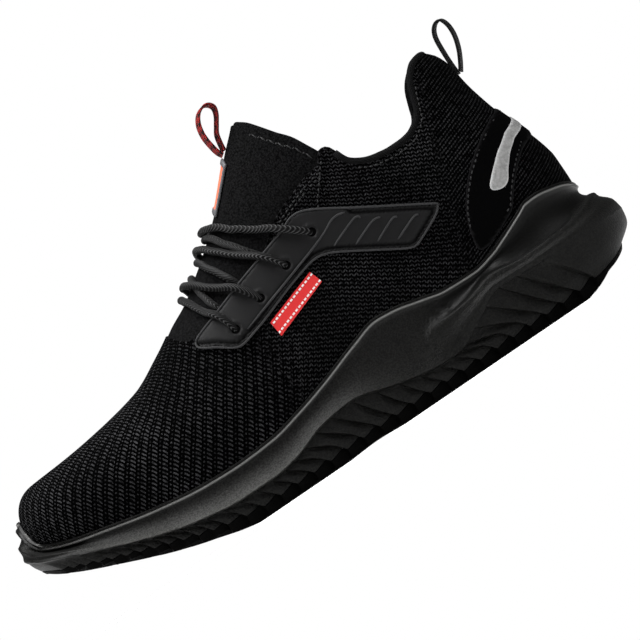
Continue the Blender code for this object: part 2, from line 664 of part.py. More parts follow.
def above_cup(outline):
    """An outline drawn above the cup's highest edge, in shares of the collar's height."""
    return [(x, (CUP_TOP + share * (COLLAR_HEIGHT - CUP_TOP)) / COLLAR_HEIGHT) for x, share in outline]


def jacket(name, span, heights, lift, thickness, sides, step=OVERLAY_STEP, rows=7):
    """Curved slab on the form, from which an overlay is cut."""
    low = lambda place, side: side_rise(place, side, heights[0] * COLLAR_HEIGHT)
    high = lambda place, side: side_rise(place, side, heights[1] * COLLAR_HEIGHT)
    start, end = (place_at(x * LENGTH) if x > 0 else 0.0 for x in span)
    sheet = form_sheet(spread(start, end, step), low, high, rows, lift, sides)
    return thicken(add_object(name, sheet), thickness, outwards=True)


def eyelet_hole(side, x, z):
    """Cutter: a pin square to the eyestay at an eyelet."""
    place = place_at(x * LENGTH)
    rise = side_rise(place, side, z * COLLAR_HEIGHT)
    inside, outside = (form_point(place, side, rise, lift) for lift in (-PIN_IN, PIN_OUT))
    bm = bmesh.new()
    bmesh.ops.create_cone(bm, cap_ends=True, segments=8, radius1=EYELET / 2, radius2=EYELET / 2,
                          depth=(outside - inside).length)
    turn = (outside - inside).to_track_quat("Z", "Y").to_matrix().to_4x4()
    bmesh.ops.transform(bm, matrix=turn, verts=bm.verts)
    bmesh.ops.translate(bm, verts=bm.verts, vec=(inside + outside) / 2)
    return bm


def make_eyestay(side):
    word = "lateral" if side > 0 else "medial"
    piece = jacket("eyestay_" + word, EYESTAY_SPAN, EYESTAY_HEIGHTS, LAP_GAP, EYESTAY, (side,),
                   EYESTAY_STEP, rows=5)
    near, far = (OFF_MIDDLE, SPAN) if side > 0 else (-SPAN, -OFF_MIDDLE)
    cut(piece, prism("eyestay_outline_" + word, EYESTAY_OUTLINE, near, far), "INTERSECT")
    for number, (x, z) in enumerate(EYELETS, 1):
        pin = add_object(f"eyelet_pin_{word}_{number}", eyelet_hole(side, x, z), cutter=True)
        cut(piece, pin)
    return paint(piece, (0.025, 0.025, 0.026), 0.5)


def make_heel_overlays():
    counter = jacket("heel_counter", COUNTER_SPAN, COUNTER_HEIGHTS, LAP_GAP, COUNTER, (1, -1))
    cut(counter, prism("counter_outline", above_cup(COUNTER_OUTLINE), -SPAN, SPAN), "INTERSECT")
    paint(counter, (0.008, 0.008, 0.008), 0.65)
    lift = LAP_GAP + COUNTER + 1.5 * GAP
    stripe = jacket("heel_reflector", COUNTER_SPAN, COUNTER_HEIGHTS, lift, REFLECTOR, (1, -1))
    cut(stripe, prism("reflector_outline", above_cup(REFLECTOR_OUTLINE), -SPAN, SPAN), "INTERSECT")
    paint(stripe, (0.42, 0.43, 0.44), 0.35)


def make_tag():
    tag = jacket("side_label", TAG_SPAN, TAG_HEIGHTS, LAP_GAP, TAG, (1,), rows=3)
    cut(tag, prism("label_outline", TAG_OUTLINE, OFF_MIDDLE, SPAN), "INTERSECT")
    return paint(tag, (0.62, 0.03, 0.03), 0.6)


def make_badge():
    """Plate sewn on the front of the tongue, bent over its crest."""
    start, end = (place_at(x * LENGTH) for x in BADGE_SPAN)

    def edge(place, side):
        here = Station(place, side)
        rise = math.pi / 2
        while abs(here.point(rise).y - here.spine.y) < BADGE_WIDTH / 2:
            rise -= math.radians(0.25)
        return rise

    top = lambda place, side: math.pi / 2
    sheet = form_sheet(spread(start, end, FOLD_STEP), edge, top, 3, -(WALL + TONGUE_GAP) + GAP)
    return paint(thicken(add_object("tongue_badge", sheet), BADGE, outwards=True), (0.80, 0.10, 0.05), 0.5)


def over(x, share, lift):
    """Point above the form: x along the shoe, share of the way down from the ridge to the eyelets' side."""
    side = 1 if share >= 0 else -1
    return form_point(place_at(x, side), side, math.pi / 2 * (1 - abs(share)), lift)


def lace_tube(name, points):
    """Round lace along a route, as a closed tube."""
    curve = bpy.data.curves.new(name, "CURVE")
    curve.dimensions = "3D"
    curve.bevel_depth = LACE / 2
    curve.bevel_resolution = 1
    curve.use_fill_caps = True
    spline = curve.splines.new("POLY")
    spline.points.add(len(points) - 1)
    for knot, point in zip(spline.points, points):
        knot.co = (*point, 1)
    draft = bpy.data.objects.new(name, curve)
    collection.objects.link(draft)
    mesh = bpy.data.meshes.new_from_object(draft.evaluated_get(bpy.context.evaluated_depsgraph_get()))
    bpy.data.objects.remove(draft)
    bm = bmesh.new()
    bm.from_mesh(mesh)
    bmesh.ops.remove_doubles(bm, verts=bm.verts, dist=WELD)
    bmesh.ops.recalc_face_normals(bm, faces=bm.faces)
    return bm


LACE_ON_TONGUE = -(WALL + TONGUE_GAP) + 1.5 * GAP + LACE / 2
LACE_ON_EYESTAY = LAP_GAP + EYESTAY + 2 * GAP + LACE / 2
# Each run of lace: where it crosses the crest, as a share of the length, and shares of its way out from there
BAR_CREST = 0.600
CROSS_CRESTS = (0.584, 0.552, 0.525)
CORD_BOW = 1.6            # how late it turns to its eyelet
HIDDEN_END = 0.60         # where the end that comes from under the eyestay stops
CLIMB_START = 0.52        # up from the tongue to the eyestay
CLIMB_RUN = 0.18
CROSSING = 0.35           # where it rises over the other run


def eyelet_share(number, side):
    x, z = EYELETS[number]
    return 1 - side_rise(place_at(x * LENGTH, side), side, z * COLLAR_HEIGHT) / (math.pi / 2)


def lace_route(first, last, crest, side, under_first, hump):
    """Run of lace from one side's eyelet over the crest to the other side's, or from the tongue beside it."""
    points = []
    shares = (eyelet_share(first, side), eyelet_share(last, -side))
    for k in range(CORD_SEGMENTS + 1):
        way = -1 + 2 * k / CORD_SEGMENTS
        hidden = under_first and way < 0
        number, share = (first, shares[0]) if way < 0 else (last, shares[1])
        reach = abs(way) * (HIDDEN_END if hidden else 1.0)
        x = (crest + (EYELETS[number][0] - crest) * reach ** CORD_BOW) * LENGTH
        climb = 0.0 if hidden else ease((reach - CLIMB_START) / CLIMB_RUN)
        lift = LACE_ON_TONGUE + (LACE_ON_EYESTAY - LACE_ON_TONGUE) * climb
        lift += hump * max(0.0, 1 - (way / CROSSING) ** 2) ** 2
        points.append(over(x, -side * math.copysign(share * reach, way), lift))
    return points


def make_laces():
    """Bar at the vamp end and three crossings, each laid over the tongue."""
    bar = lace_tube("lace_bar", lace_route(0, 0, BAR_CREST, 1, False, 0.0))
    paint(add_object("lace_bar", bar), (0.02, 0.02, 0.02), 0.8)
    for row, crest in enumerate(CROSS_CRESTS):
        name = f"lace_cross_{row + 1}"
        low = add_object(name, lace_tube(name, lace_route(row, row + 1, crest, -1, True, 0.0)))
        high = lace_tube(name + "_over", lace_route(row, row + 1, crest, 1, True, 0.72 * LACE))
        cut(low, add_object(name + "_over", high, cutter=True), "UNION")
        paint(low, (0.02, 0.02, 0.02), 0.8)


def ribbon(name, route, colour):
    """Flat tape bent to a loop, its two ends side by side at the seam."""
    bm = bmesh.new()
    columns = []
    for x, z in route:
        columns.append([bm.verts.new((x * LENGTH, y, z * COLLAR_HEIGHT)) for y in (-RIBBON_WIDTH / 2,
                                                                                  RIBBON_WIDTH / 2)])
    lay_quads(bm, columns)
    piece = thicken(add_object(name, bm), RIBBON)
    piece.modifiers["wall"].offset = 0
    return paint(piece, colour, 0.7)


# Middle line of each loop's tape, from one sewn end over the top to the other
TONGUE_LOOP = (
    (0.4347, 1.095), (0.4393, 1.118), (0.4425, 1.165), (0.4420, 1.200), (0.4380, 1.232), (0.4300, 1.257),
    (0.4190, 1.268), (0.4110, 1.262), (0.4070, 1.245), (0.4100, 1.220), (0.4180, 1.191), (0.4250, 1.165),
    (0.4282, 1.135), (0.4300, 1.105),
)
HEEL_LOOP = (
    (0.0855, 0.874), (0.0860, 0.915), (0.0857, 0.955), (0.0840, 1.010), (0.0800, 1.040), (0.0730, 1.058),
    (0.0650, 1.062), (0.0600, 1.050), (0.0575, 1.022), (0.0590, 0.985), (0.0645, 0.945), (0.0725, 0.908),
    (0.0805, 0.878),
)


def main():
    clear_scene()
    make_upper()
    make_tongue()
    make_toe_cap()
    make_insole()
    make_midsole()
    make_outsole()
    for side in (1, -1):
        make_eyestay(side)
    make_heel_overlays()
    make_tag()
    make_badge()
    make_laces()
    ribbon("tongue_loop", TONGUE_LOOP, (0.02, 0.01, 0.01))
    ribbon("heel_loop", HEEL_LOOP, (0.02, 0.02, 0.02))
    shoe = bpy.data.objects.new("shoe", None)
    collection.objects.link(shoe)
    for piece in [*collection.objects, *cutters.objects]:
        if piece is not shoe:
            piece.parent = shoe
    shoe.location.x = -HEEL_REST


main()
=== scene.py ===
"""Safety sneaker, left shoe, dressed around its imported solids.

Metres. Pieces are shaped with x from the back of the heel and moved to the part's frame, whose origin
lies under the middle of the heel. +Y is the outer side, +Z up.
"""

import math
from functools import lru_cache

import bmesh
import bpy
from mathutils import Matrix, Vector
from mathutils.kdtree import KDTree


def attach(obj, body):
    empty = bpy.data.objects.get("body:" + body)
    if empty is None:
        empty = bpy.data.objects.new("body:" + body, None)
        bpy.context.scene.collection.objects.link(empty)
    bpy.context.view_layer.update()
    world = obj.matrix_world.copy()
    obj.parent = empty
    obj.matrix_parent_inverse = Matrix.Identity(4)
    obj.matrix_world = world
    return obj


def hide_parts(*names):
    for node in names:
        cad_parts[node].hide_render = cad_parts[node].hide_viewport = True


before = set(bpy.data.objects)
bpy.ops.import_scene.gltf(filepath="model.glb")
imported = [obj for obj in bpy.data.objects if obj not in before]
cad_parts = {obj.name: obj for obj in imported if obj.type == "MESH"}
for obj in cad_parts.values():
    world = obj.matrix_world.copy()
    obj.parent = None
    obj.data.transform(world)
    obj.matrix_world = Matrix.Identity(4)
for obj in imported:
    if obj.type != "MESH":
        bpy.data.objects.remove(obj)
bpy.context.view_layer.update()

# Knitted upper
# The bootie is knitted in one piece from black yarn and pulled over the last, and its lower edge is
# cemented into the cup sole. Its form follows the solid's own tables, as shares of four sizes.
LENGTH = 0.300
BALL_WIDTH = 0.100
COLLAR_HEIGHT = 0.129
STACK = 0.030
TOE_SWING = 0.007
WALL = 0.0020
TUCK = 0.005
HEEL_REST = 0.073
HEEL_AXIS = 0.173 * LENGTH
TOE_AXIS = 0.800 * LENGTH
TOE_RIDGE = 0.923 * LENGTH
UPPER_TOE = 0.9815 * LENGTH
HEEL_ARC = 0.195 * LENGTH
TOE_ARC = 0.270 * LENGTH
MID_RUN = TOE_AXIS - HEEL_AXIS
TOTAL = HEEL_ARC + MID_RUN + TOE_ARC
ROUND_HEEL = 2.2
ROUND_TOE = 2.1


def table(columns, scales, rows):
    """Rows of shares, a row for each place along the shoe, turned to lengths column by column."""
    names = columns.split()
    return {name: [row[i] * scales[i] for row in rows] for i, name in enumerate(names)}


SECTIONS = table("x lateral medial wide ridge crest side",
                 (LENGTH, BALL_WIDTH, BALL_WIDTH, COLLAR_HEIGHT, COLLAR_HEIGHT, 1, 1), (
    (0.173, 0.345, 0.345, 0.403, 1.667, 2.0, 2.0),
    (0.300, 0.355, 0.325, 0.388, 1.550, 2.0, 1.9),
    (0.350, 0.370, 0.325, 0.388, 1.374, 2.0, 1.75),
    (0.403, 0.385, 0.330, 0.388, 1.192, 2.0, 1.6),
    (0.440, 0.400, 0.345, 0.380, 1.108, 2.0, 1.5),
    (0.507, 0.430, 0.380, 0.364, 0.948, 2.0, 1.45),
    (0.557, 0.460, 0.415, 0.353, 0.853, 2.0, 1.5),
    (0.590, 0.475, 0.440, 0.345, 0.798, 2.05, 1.5),
    (0.650, 0.497, 0.475, 0.337, 0.698, 2.1, 1.6),
    (0.683, 0.500, 0.490, 0.333, 0.654, 2.2, 1.7),
    (0.733, 0.500, 0.500, 0.341, 0.598, 2.3, 1.8),
    (0.800, 0.460, 0.490, 0.357, 0.566, 2.4, 2.0),
    (0.863, 0.460, 0.490, 0.380, 0.546, 2.5, 2.1),
    (0.923, 0.460, 0.490, 0.395, 0.538, 2.5, 2.2),
))
HEEL_BACK = table("z x", (COLLAR_HEIGHT, LENGTH), (
    (0.388, 0.037), (0.465, 0.037), (0.504, 0.040), (0.547, 0.045), (0.615, 0.055), (0.653, 0.062),
    (0.710, 0.071), (0.797, 0.081), (0.860, 0.087), (0.934, 0.095), (0.967, 0.100), (1.000, 0.112),
    (1.047, 0.133),
))
TOPLINE = table("x z", (LENGTH, COLLAR_HEIGHT), (
    (0.067, 1.008), (0.112, 1.000), (0.131, 0.988), (0.143, 0.967), (0.154, 0.934), (0.162, 0.888),
    (0.169, 0.843), (0.187, 0.802), (0.200, 0.788), (0.217, 0.783), (0.233, 0.783), (0.250, 0.788),
    (0.267, 0.797), (0.282, 0.814), (0.295, 0.840), (0.302, 0.880), (0.309, 0.909), (0.317, 0.912),
    (0.323, 0.896), (0.332, 0.874), (0.356, 0.863), (0.383, 0.843), (0.407, 0.823), (0.430, 0.798),
    (0.450, 0.760), (0.467, 0.736), (0.522, 0.696), (0.563, 0.660), (0.600, 0.636), (0.623, 0.628),
    (0.635, 0.640), (0.645, 0.663), (0.653, 0.713),
))
THROAT_END = 0.652 * LENGTH
FOOTBED = table("x z", (LENGTH, STACK), (
    (0.000, 1.000), (0.200, 1.000), (0.300, 0.983), (0.400, 0.900), (0.500, 0.750), (0.600, 0.617),
    (0.667, 0.583), (0.733, 0.617), (0.800, 0.750), (0.867, 0.967), (0.933, 1.233), (0.983, 1.400),
))
# Bend lines of the worn knit, as soft troughs, and the ridge of the fold beside the tongue, which is the one
# with a depth below nothing: x and z of both ends, depth and width in shoe sizes
BENDS = table("x1 z1 x2 z2 deep wide", (LENGTH, COLLAR_HEIGHT, LENGTH, COLLAR_HEIGHT, 0.001, LENGTH), (
    (0.700, 0.640, 0.655, 0.330, 0.50, 0.011),
    (0.742, 0.590, 0.715, 0.330, 0.40, 0.012),
    (0.300, 0.700, 0.215, 0.560, 0.45, 0.012),
    (0.262, 0.640, 0.205, 0.450, 0.35, 0.012),
    (0.316, 0.940, 0.364, 0.750, -0.70, 0.005),
    (0.318, 0.890, 0.352, 0.730, 1.00, 0.014),
))


def read(rows, name, place, key="x"):
    """A smooth curve through a table's column, level past its ends, with no overshoot."""
    xs, ys = rows[key], rows[name]
    if place <= xs[0]:
        return ys[0]
    if place >= xs[-1]:
        return ys[-1]
    i = next(k for k in range(len(xs) - 1) if place <= xs[k + 1])

    def chord(k):
        return (ys[k + 1] - ys[k]) / (xs[k + 1] - xs[k])

    def slope(k):
        if k == 0 or k == len(xs) - 1:
            return chord(min(k, len(xs) - 2))
        before, after = chord(k - 1), chord(k)
        return 0.0 if before * after <= 0 else 2 * before * after / (before + after)

    run = xs[i + 1] - xs[i]
    s = (place - xs[i]) / run
    return (ys[i] * (1 + 2 * s) * (1 - s) ** 2 + slope(i) * run * s * (1 - s) ** 2
            + ys[i + 1] * s * s * (3 - 2 * s) + slope(i + 1) * run * s * s * (s - 1))


def ease(share):
    share = min(1.0, max(0.0, share))
    return share * share * (3 - 2 * share)


def swing(x):
    waist = 0.45 * LENGTH
    return -TOE_SWING * (max(0.0, x - waist) / (LENGTH - waist)) ** 2


def oval(angle, ahead, across, power):
    return (abs(math.cos(angle) / ahead) ** power + abs(math.sin(angle) / across) ** power) ** (-1 / power)


def heel_reach(z):
    return HEEL_AXIS - read(HEEL_BACK, "x", z, "z")


class Station:
    """An upright section of the last, at a place along its outline from the heel's back to the toe."""

    def __init__(self, place, side):
        self.place, self.side = place, side
        self.turn = None
        toe_place = place - HEEL_ARC - MID_RUN
        if place < HEEL_ARC:
            self.turn = math.pi / 2 * place / HEEL_ARC
            spine = HEEL_AXIS
            self.half = self.width(spine)
            self.aim = Vector((-math.cos(self.turn), side * math.sin(self.turn), 0))
            self.reach = oval(self.turn, heel_reach(0), self.half, ROUND_HEEL)
        elif toe_place <= 0:
            spine = HEEL_AXIS + place - HEEL_ARC
            self.aim = Vector((0, side, 0))
            self.reach = self.width(spine)
        else:
            turn = math.pi / 2 * toe_place / TOE_ARC
            spine = TOE_AXIS + (TOE_RIDGE - TOE_AXIS) * toe_place / TOE_ARC
            reach = oval(turn, self.width(TOE_AXIS), UPPER_TOE - TOE_AXIS, ROUND_TOE)
            x = TOE_AXIS + reach * math.sin(turn)
            edge = Vector((x, swing(x) + side * reach * math.cos(turn), 0))
            out = edge - Vector((spine, swing(spine), 0))
            self.reach = out.length
            self.aim = out.normalized()
        self.spine = Vector((spine, swing(spine), 0))
        self.x = (self.spine + self.aim * self.reach).x
        self.wide, self.ridge, self.crest, self.bulge = (
            read(SECTIONS, name, spine) for name in ("wide", "ridge", "crest", "side"))
        self.foot = read(FOOTBED, "z", self.x)

    def width(self, x):
        return read(SECTIONS, "lateral" if self.side > 0 else "medial", x)

    def out(self, z, share):
        if self.turn is None:
            return self.reach * share
        return oval(self.turn, heel_reach(z), self.half * max(share, 0.01), ROUND_HEEL)

    def point(self, rise, clear=0.0):
        """Point at an angle of rise: -90 degrees at the foot's edge, 0 at the widest, 90 at the ridge."""
        sine, cosine = abs(math.sin(rise)), max(0.0, math.cos(rise))
        if rise < 0:
            z = self.wide - (self.wide - self.foot) * sine
            reach = self.out(self.wide, 1) - TUCK * (1 - cosine)
        else:
            z = self.wide + (self.ridge - self.wide) * sine ** (2 / self.bulge)
            reach = self.out(z, cosine ** (2 / self.crest))
        return self.spine + self.aim * (reach + clear) + Vector((0, 0, z))

    def rise_at(self, z):
        if z < self.wide:
            return -math.asin(min(1.0, (self.wide - z) / (self.wide - self.foot)))
        return math.asin(min(1.0, (z - self.wide) / (self.ridge - self.wide)) ** (self.bulge / 2))

    def rise_under(self, edge, end):
        """Angle of rise where the section meets an edge line, or the ridge past the line's end."""
        if self.x > end:
            return math.pi / 2
        low, high = self.rise_at(self.wide), math.pi / 2
        for _ in range(30):
            middle = (low + high) / 2
            at = self.point(middle)
            if at.z > read(edge, "z", at.x):
                high = middle
            else:
                low = middle
        return low


@lru_cache(maxsize=None)
def station(place, side):
    return Station(place, side)


def form_point(place, side, rise, lift=0.0):
    """Point of the last, lifted along its normal."""
    here = station(place, side)
    at = here.point(rise)
    if lift == 0.0:
        return at
    step = 0.0008
    along = (station(min(TOTAL, place + step), side).point(rise)
             - station(max(0.0, place - step), side).point(rise))
    if rise > math.radians(89.5):
        normal = Vector((-along.z, 0, along.x))
    else:
        tilt = math.radians(0.6)
        normal = along.cross(here.point(min(rise + tilt, math.pi / 2)) - here.point(rise - tilt)) * -side
        if place == 0.0 or place == TOTAL:
            normal.y = 0
    return at + normal.normalized() * lift


@lru_cache(maxsize=None)
def place_at(x, side=1):
    low, high = 0.0, TOTAL
    for _ in range(40):
        middle = (low + high) / 2
        if Station(middle, side).x < x:
            low = middle
        else:
            high = middle
    return low


def spread(start, end, step):
    count = max(1, round((end - start) / step))
    return [start + (end - start) * k / count for k in range(count + 1)]


def lengths(points):
    """Length of the way along a row of points, up to each."""
    run = [0.0]
    for a, b in zip(points, points[1:]):
        run.append(run[-1] + (b - a).length)
    return run


@lru_cache(maxsize=None)
def girth(place, side):
    """Lengths up a section from its widest line, at every 5 degrees of rise."""
    run = lengths([station(place, side).point(math.radians(angle)) for angle in range(-90, 91, 5)])
    return [length - run[18] for length in run]


@lru_cache(maxsize=None)
def courses(side):
    """Lengths along the last from above the ball, at every 15 degrees of rise."""
    places = spread(0.0, TOTAL, 0.002)
    start = round(place_at(0.6 * LENGTH) / TOTAL * (len(places) - 1))
    rows = [lengths([station(place, side).point(math.radians(angle)) for place in places])
            for angle in range(-90, 91, 15)]
    return [[length - row[start] for length in row] for row in rows]


def between_items(values, at):
    k = min(int(at), len(values) - 2)
    return values[k] + (values[k + 1] - values[k]) * (at - k)


def flat_at(place, side, rise):
    """Where a point of the last lies on its cloth laid flat: length along, and girth from the widest line."""
    angle = math.degrees(rise) + 90
    rows = courses(side)
    k = min(int(angle / 15), len(rows) - 2)
    share = place / TOTAL * (len(rows[0]) - 1)
    low, high = between_items(rows[k], share), between_items(rows[k + 1], share)
    return low + (high - low) * (angle / 15 - k), between_items(girth(place, side), angle / 5)


def lay(bm, knots, uv=None):
    """Adds a grid of quads with its corners at the knots; its UV map keeps lengths, in metres."""
    flat = bm.loops.layers.uv.get("flat") or bm.loops.layers.uv.new("flat")
    across, up = len(knots) - 1, len(knots[0]) - 1
    if uv is None:
        alongs = [lengths([line[j] for line in knots]) for j in range(up + 1)]
        uv = [[(alongs[j][i], rise) for j, rise in enumerate(lengths(line))] for i, line in enumerate(knots)]
    made = bmesh.ops.create_grid(bm, x_segments=across, y_segments=up, size=0.5)["verts"]
    spot = {v: (round((v.co.x + 0.5) * across), round((v.co.y + 0.5) * up)) for v in made}
    for vert, (i, j) in spot.items():
        vert.co = knots[i][j]
    for face in {face for vert in made for face in vert.link_faces}:
        for loop in face.loops:
            i, j = spot[loop.vert]
            loop[flat].uv = uv[i][j]
    return made


def form_cloth(places, rises, lift, sides=(1, -1)):
    """Cloth on the last: a column of knots at each place, at the angles and with the lifts given."""
    bm = bmesh.new()
    for side in sides:
        angles = [rises(place, side) for place in places]
        knots = [[form_point(place, side, rise, lift(place, side, rise)) for rise in column]
                 for place, column in zip(places, angles)]
        uv = [[flat_at(place, side, rise) for rise in column] for place, column in zip(places, angles)]
        made = lay(bm, knots, uv)
        if side > 0:
            bmesh.ops.reverse_faces(bm, faces=list({face for vert in made for face in vert.link_faces}))
    bmesh.ops.remove_doubles(bm, verts=bm.verts, dist=0.00003)
    return bm


def add_piece(name, bm, finish, replaces=(), wall=0.0, edge=None):
    """A finished piece: moved to the part's frame, given its finish, with the solids it stands for hidden."""
    bmesh.ops.translate(bm, verts=bm.verts, vec=(-HEEL_REST, 0, 0))
    mesh = bpy.data.meshes.new(name)
    bm.to_mesh(mesh)
    bm.free()
    mesh.shade_smooth()
    if edge is not None:
        mesh.set_sharp_from_angle(angle=math.radians(edge))
    piece = bpy.data.objects.new(name, mesh)
    bpy.context.scene.collection.objects.link(piece)
    piece.data.materials.append(finish)
    if wall:
        solid = piece.modifiers.new("wall", "SOLIDIFY")
        solid.thickness = wall
        solid.offset = -1
        solid.use_even_offset = True
    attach(piece, "root")
    if replaces:
        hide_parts(*replaces)
    return piece


class Value:
    """A socket of a finish, so that its maths is written as sums."""

    def __init__(self, finish, socket):
        self.finish, self.socket = finish, socket

    def math(self, operation, *others):
        return self.finish.node("ShaderNodeMath", {"operation": operation}, dict(enumerate((self, *others))))

    def __add__(self, other):
        return self.math("ADD", other)

    __radd__ = __add__

    def __mul__(self, other):
        return self.math("MULTIPLY", other)

    __rmul__ = __mul__

    def __sub__(self, other):
        return self.math("SUBTRACT", other)

    def __rsub__(self, other):
        return self * -1 + other

    def __truediv__(self, other):
        return self.math("DIVIDE", other)

    def __pow__(self, other):
        return self.math("POWER", other)

    def __abs__(self):
        return self.math("ABSOLUTE")

    def most(self, other):
        return self.math("MAXIMUM", other)

    def part(self):
        """What is left past the last whole number."""
        return self.math("FRACT")

    def wave(self):
        """Sine of a count of turns, from 0 to 1."""
        return (self * math.tau).math("SINE") * 0.5 + 0.5

    def between(self, low, high):
        """0 below low, 1 above high, eased between."""
        return self.finish.node("ShaderNodeMapRange", {"interpolation_type": "SMOOTHSTEP"},
                                {0: self, 1: low, 2: high})


class Finish:
    """A material of one Principled shader, with its nodes made by one method."""

    def __init__(self, name, **constants):
        self.material = bpy.data.materials.new(name)
        self.material.use_nodes = True
        self.tree = self.material.node_tree
        self.shader = self.tree.nodes["Principled BSDF"]
        for socket, value in constants.items():
            self.shader.inputs[socket.replace("_", " ")].default_value = value

    def node(self, kind, settings=None, sockets=None, out=0):
        made = self.tree.nodes.new(kind)
        for setting, value in (settings or {}).items():
            setattr(made, setting, value)
        for place, value in (sockets or {}).items():
            self.feed(made.inputs[place], value)
        return Value(self, made.outputs[out])

    def feed(self, socket, value):
        if isinstance(value, Value):
            self.tree.links.new(value.socket, socket)
        else:
            socket.default_value = value

    def flat(self):
        """The cloth's own lengths, along and up."""
        split = self.node("ShaderNodeSeparateXYZ", {}, {0: self.node("ShaderNodeUVMap", {"uv_map": "flat"})})
        return split, Value(self, split.socket.node.outputs[1])

    def spot(self):
        """Place in the part's frame, as a vector."""
        return self.node("ShaderNodeTexCoord", out="Object")

    def place(self):
        """Place in the part's frame, as three lengths."""
        split = self.node("ShaderNodeSeparateXYZ", {}, {0: self.spot()})
        return [Value(self, split.socket.node.outputs[k]) for k in range(3)]

    def noise(self, vector, scale, detail=2.0, rough=0.5):
        return self.node("ShaderNodeTexNoise", {}, {"Vector": vector, "Scale": scale, "Detail": detail,
                                                    "Roughness": rough})

    def cells(self, vector, scale, feature="F1"):
        return self.node("ShaderNodeTexVoronoi", {"feature": feature}, {"Vector": vector, "Scale": scale})

    def mix(self, mask, low, high):
        low, high = ((*c, 1) if isinstance(c, tuple) else c for c in (low, high))
        return self.node("ShaderNodeMix", {"data_type": "RGBA"}, {0: mask, 6: low, 7: high}, out=2)

    def done(self, colour=None, rough=None, relief=None, depth=0.0003, coat=None):
        for name, value in (("Base Color", colour), ("Roughness", rough), ("Coat Weight", coat)):
            if value is not None:
                self.feed(self.shader.inputs[name], (*value, 1) if isinstance(value, tuple) else value)
        if relief is not None:
            bump = self.node("ShaderNodeBump", {}, {"Strength": 1.0, "Distance": depth, "Height": relief})
            self.feed(self.shader.inputs["Normal"], bump)
        return self.material


def trough(x, z):
    """How deep the bend lines press into the knit at a point of the side view."""
    deep = 0.0
    for k in range(len(BENDS["x1"])):
        x1, z1, x2, z2 = (BENDS[name][k] for name in ("x1", "z1", "x2", "z2"))
        run = Vector((x2 - x1, z2 - z1))
        rest = Vector((x - x1, z - z1))
        share = rest.dot(run) / run.length_squared
        away = abs(rest.x * run.y - rest.y * run.x) / run.length / BENDS["wide"][k]
        fade = ease(1 - abs(share * 2 - 1) ** 2) if 0 < share < 1 else 0.0
        deep += BENDS["deep"][k] * fade * (math.exp(-away ** 2) - 0.6 * math.exp(-(away - 1.7) ** 2))
    return deep


def knit_lift(place, side, rise):
    """Relief of the upper's outside: bend lines, and a padded collar pulled in at its stitched edge."""
    here = station(place, side)
    at = here.point(rise)
    lift = -trough(at.x, at.z)
    if at.x < 0.31 * LENGTH:
        below = read(TOPLINE, "z", at.x) - at.z
        lift += 0.0011 * math.exp(-((below - 0.011) / 0.007) ** 2) * ease((0.31 * LENGTH - at.x) / 0.02)
    return lift


UNDER_ROWS = 12
OVER_ROWS = 34


def knit_rises(place, side):
    top = station(place, side).rise_under(TOPLINE, THROAT_END)
    return [-math.pi / 2 * (1 - k / UNDER_ROWS) for k in range(UNDER_ROWS)] + [
        top * k / OVER_ROWS for k in range(OVER_ROWS + 1)]


def knit_finish():
    """Leaning columns of knit: hooked stitches beside rows of dots on the vamp, wavy loops on the quarters,
    and dotted ribs round the heel."""
    finish = Finish("knit", Roughness=0.9, Specular_IOR_Level=0.01)
    along, up = finish.flat()
    spot = finish.spot()
    uneven = finish.noise(spot, 700.0, 3.0)
    leaning_to = along * 0.827 + up * 0.562 + (finish.noise(spot, 160.0) - 0.5) * 0.0005
    row = (up * 0.827 - along * 0.562) / 0.0019 + (finish.noise(spot, 420.0) - 0.5) * 0.55
    column = (leaning_to / 0.00457).part()
    hook = (column - 0.03) / 0.60
    hooks = (row - hook * 1.15 + hook * hook * 0.55).wave().between(0.28, 0.72)
    hooks = hooks * hook.between(0.0, 0.12) * (1 - hook.between(0.84, 1.0))
    dots = (row + 0.3).wave().between(0.25, 0.8) * (1 - (abs(column - 0.815) / 0.135).between(0.45, 1.0))
    vamp = hooks.most(dots * 0.75)
    wide = abs((leaning_to / 0.0023).part() - 0.5) * 2
    loops = (row + wide * 0.55).wave().between(0.10, 0.90) * (1 - wide.between(0.70, 1.0) * 0.7)
    loops = loops * (0.45 + wide.between(0.0, 0.25) * 0.55)
    x, _, z = finish.place()
    front = x.between(0.070, 0.108)
    chains = vamp * front + loops * (1 - front)
    rib = (up + along * 0.32) / 0.00150 + finish.noise(spot, 60.0) * 0.4
    ribs = rib.wave() * (0.45 + ((along + up * 0.2) / 0.0012).wave() * 0.55)
    heel = 1 - (x + z * 0.35).between(0.004, 0.022)
    height = (chains * (1 - heel) + ribs * heel) * (0.40 + uneven.between(0.30, 0.68) * 0.75)
    lit = 0.45 + finish.noise(spot, 22.0, 2.0).between(0.30, 0.70) * 0.75
    # Colour follows the stitch relief: raised loops are lighter as a painted highlight, in patches set by lit,
    # and the hollows are near black as painted shade.
    colour = finish.mix(height.between(0.20, 1.0) * lit, (0.0002, 0.0002, 0.00025), (0.040, 0.040, 0.042))
    return finish.done(colour=colour, relief=height, depth=0.0008)


knit = knit_finish()
columns = spread(0.0, TOTAL, 0.0010)
add_piece("knit_upper", form_cloth(columns, knit_rises, knit_lift), knit, ("upper",), wall=WALL)

# Rolled collar edge
# The lining of fine jersey is turned over the collar's raw edge and stitched down; along the throat the
# knit itself is folded under. Both read as a soft rounded lip.
LINED_ROLL = 0.0017
FOLD_ROLL = 0.0011
ROLL_SIDES = 12


def smooth_path(points, steps):
    """Points of a soft curve through the given ones."""
    line = []
    last = len(points) - 1
    for k in range(last):
        p0, p1, p2, p3 = (points[min(max(k + d, 0), last)] for d in (-1, 0, 1, 2))
        for step in range(steps):
            t = step / steps
            line.append(0.5 * (2 * p1 + (p2 - p0) * t + (2 * p0 - 5 * p1 + 4 * p2 - p3) * t * t
                               + (3 * p1 - p0 - 3 * p2 + p3) * t ** 3))
    return line + [points[-1]]


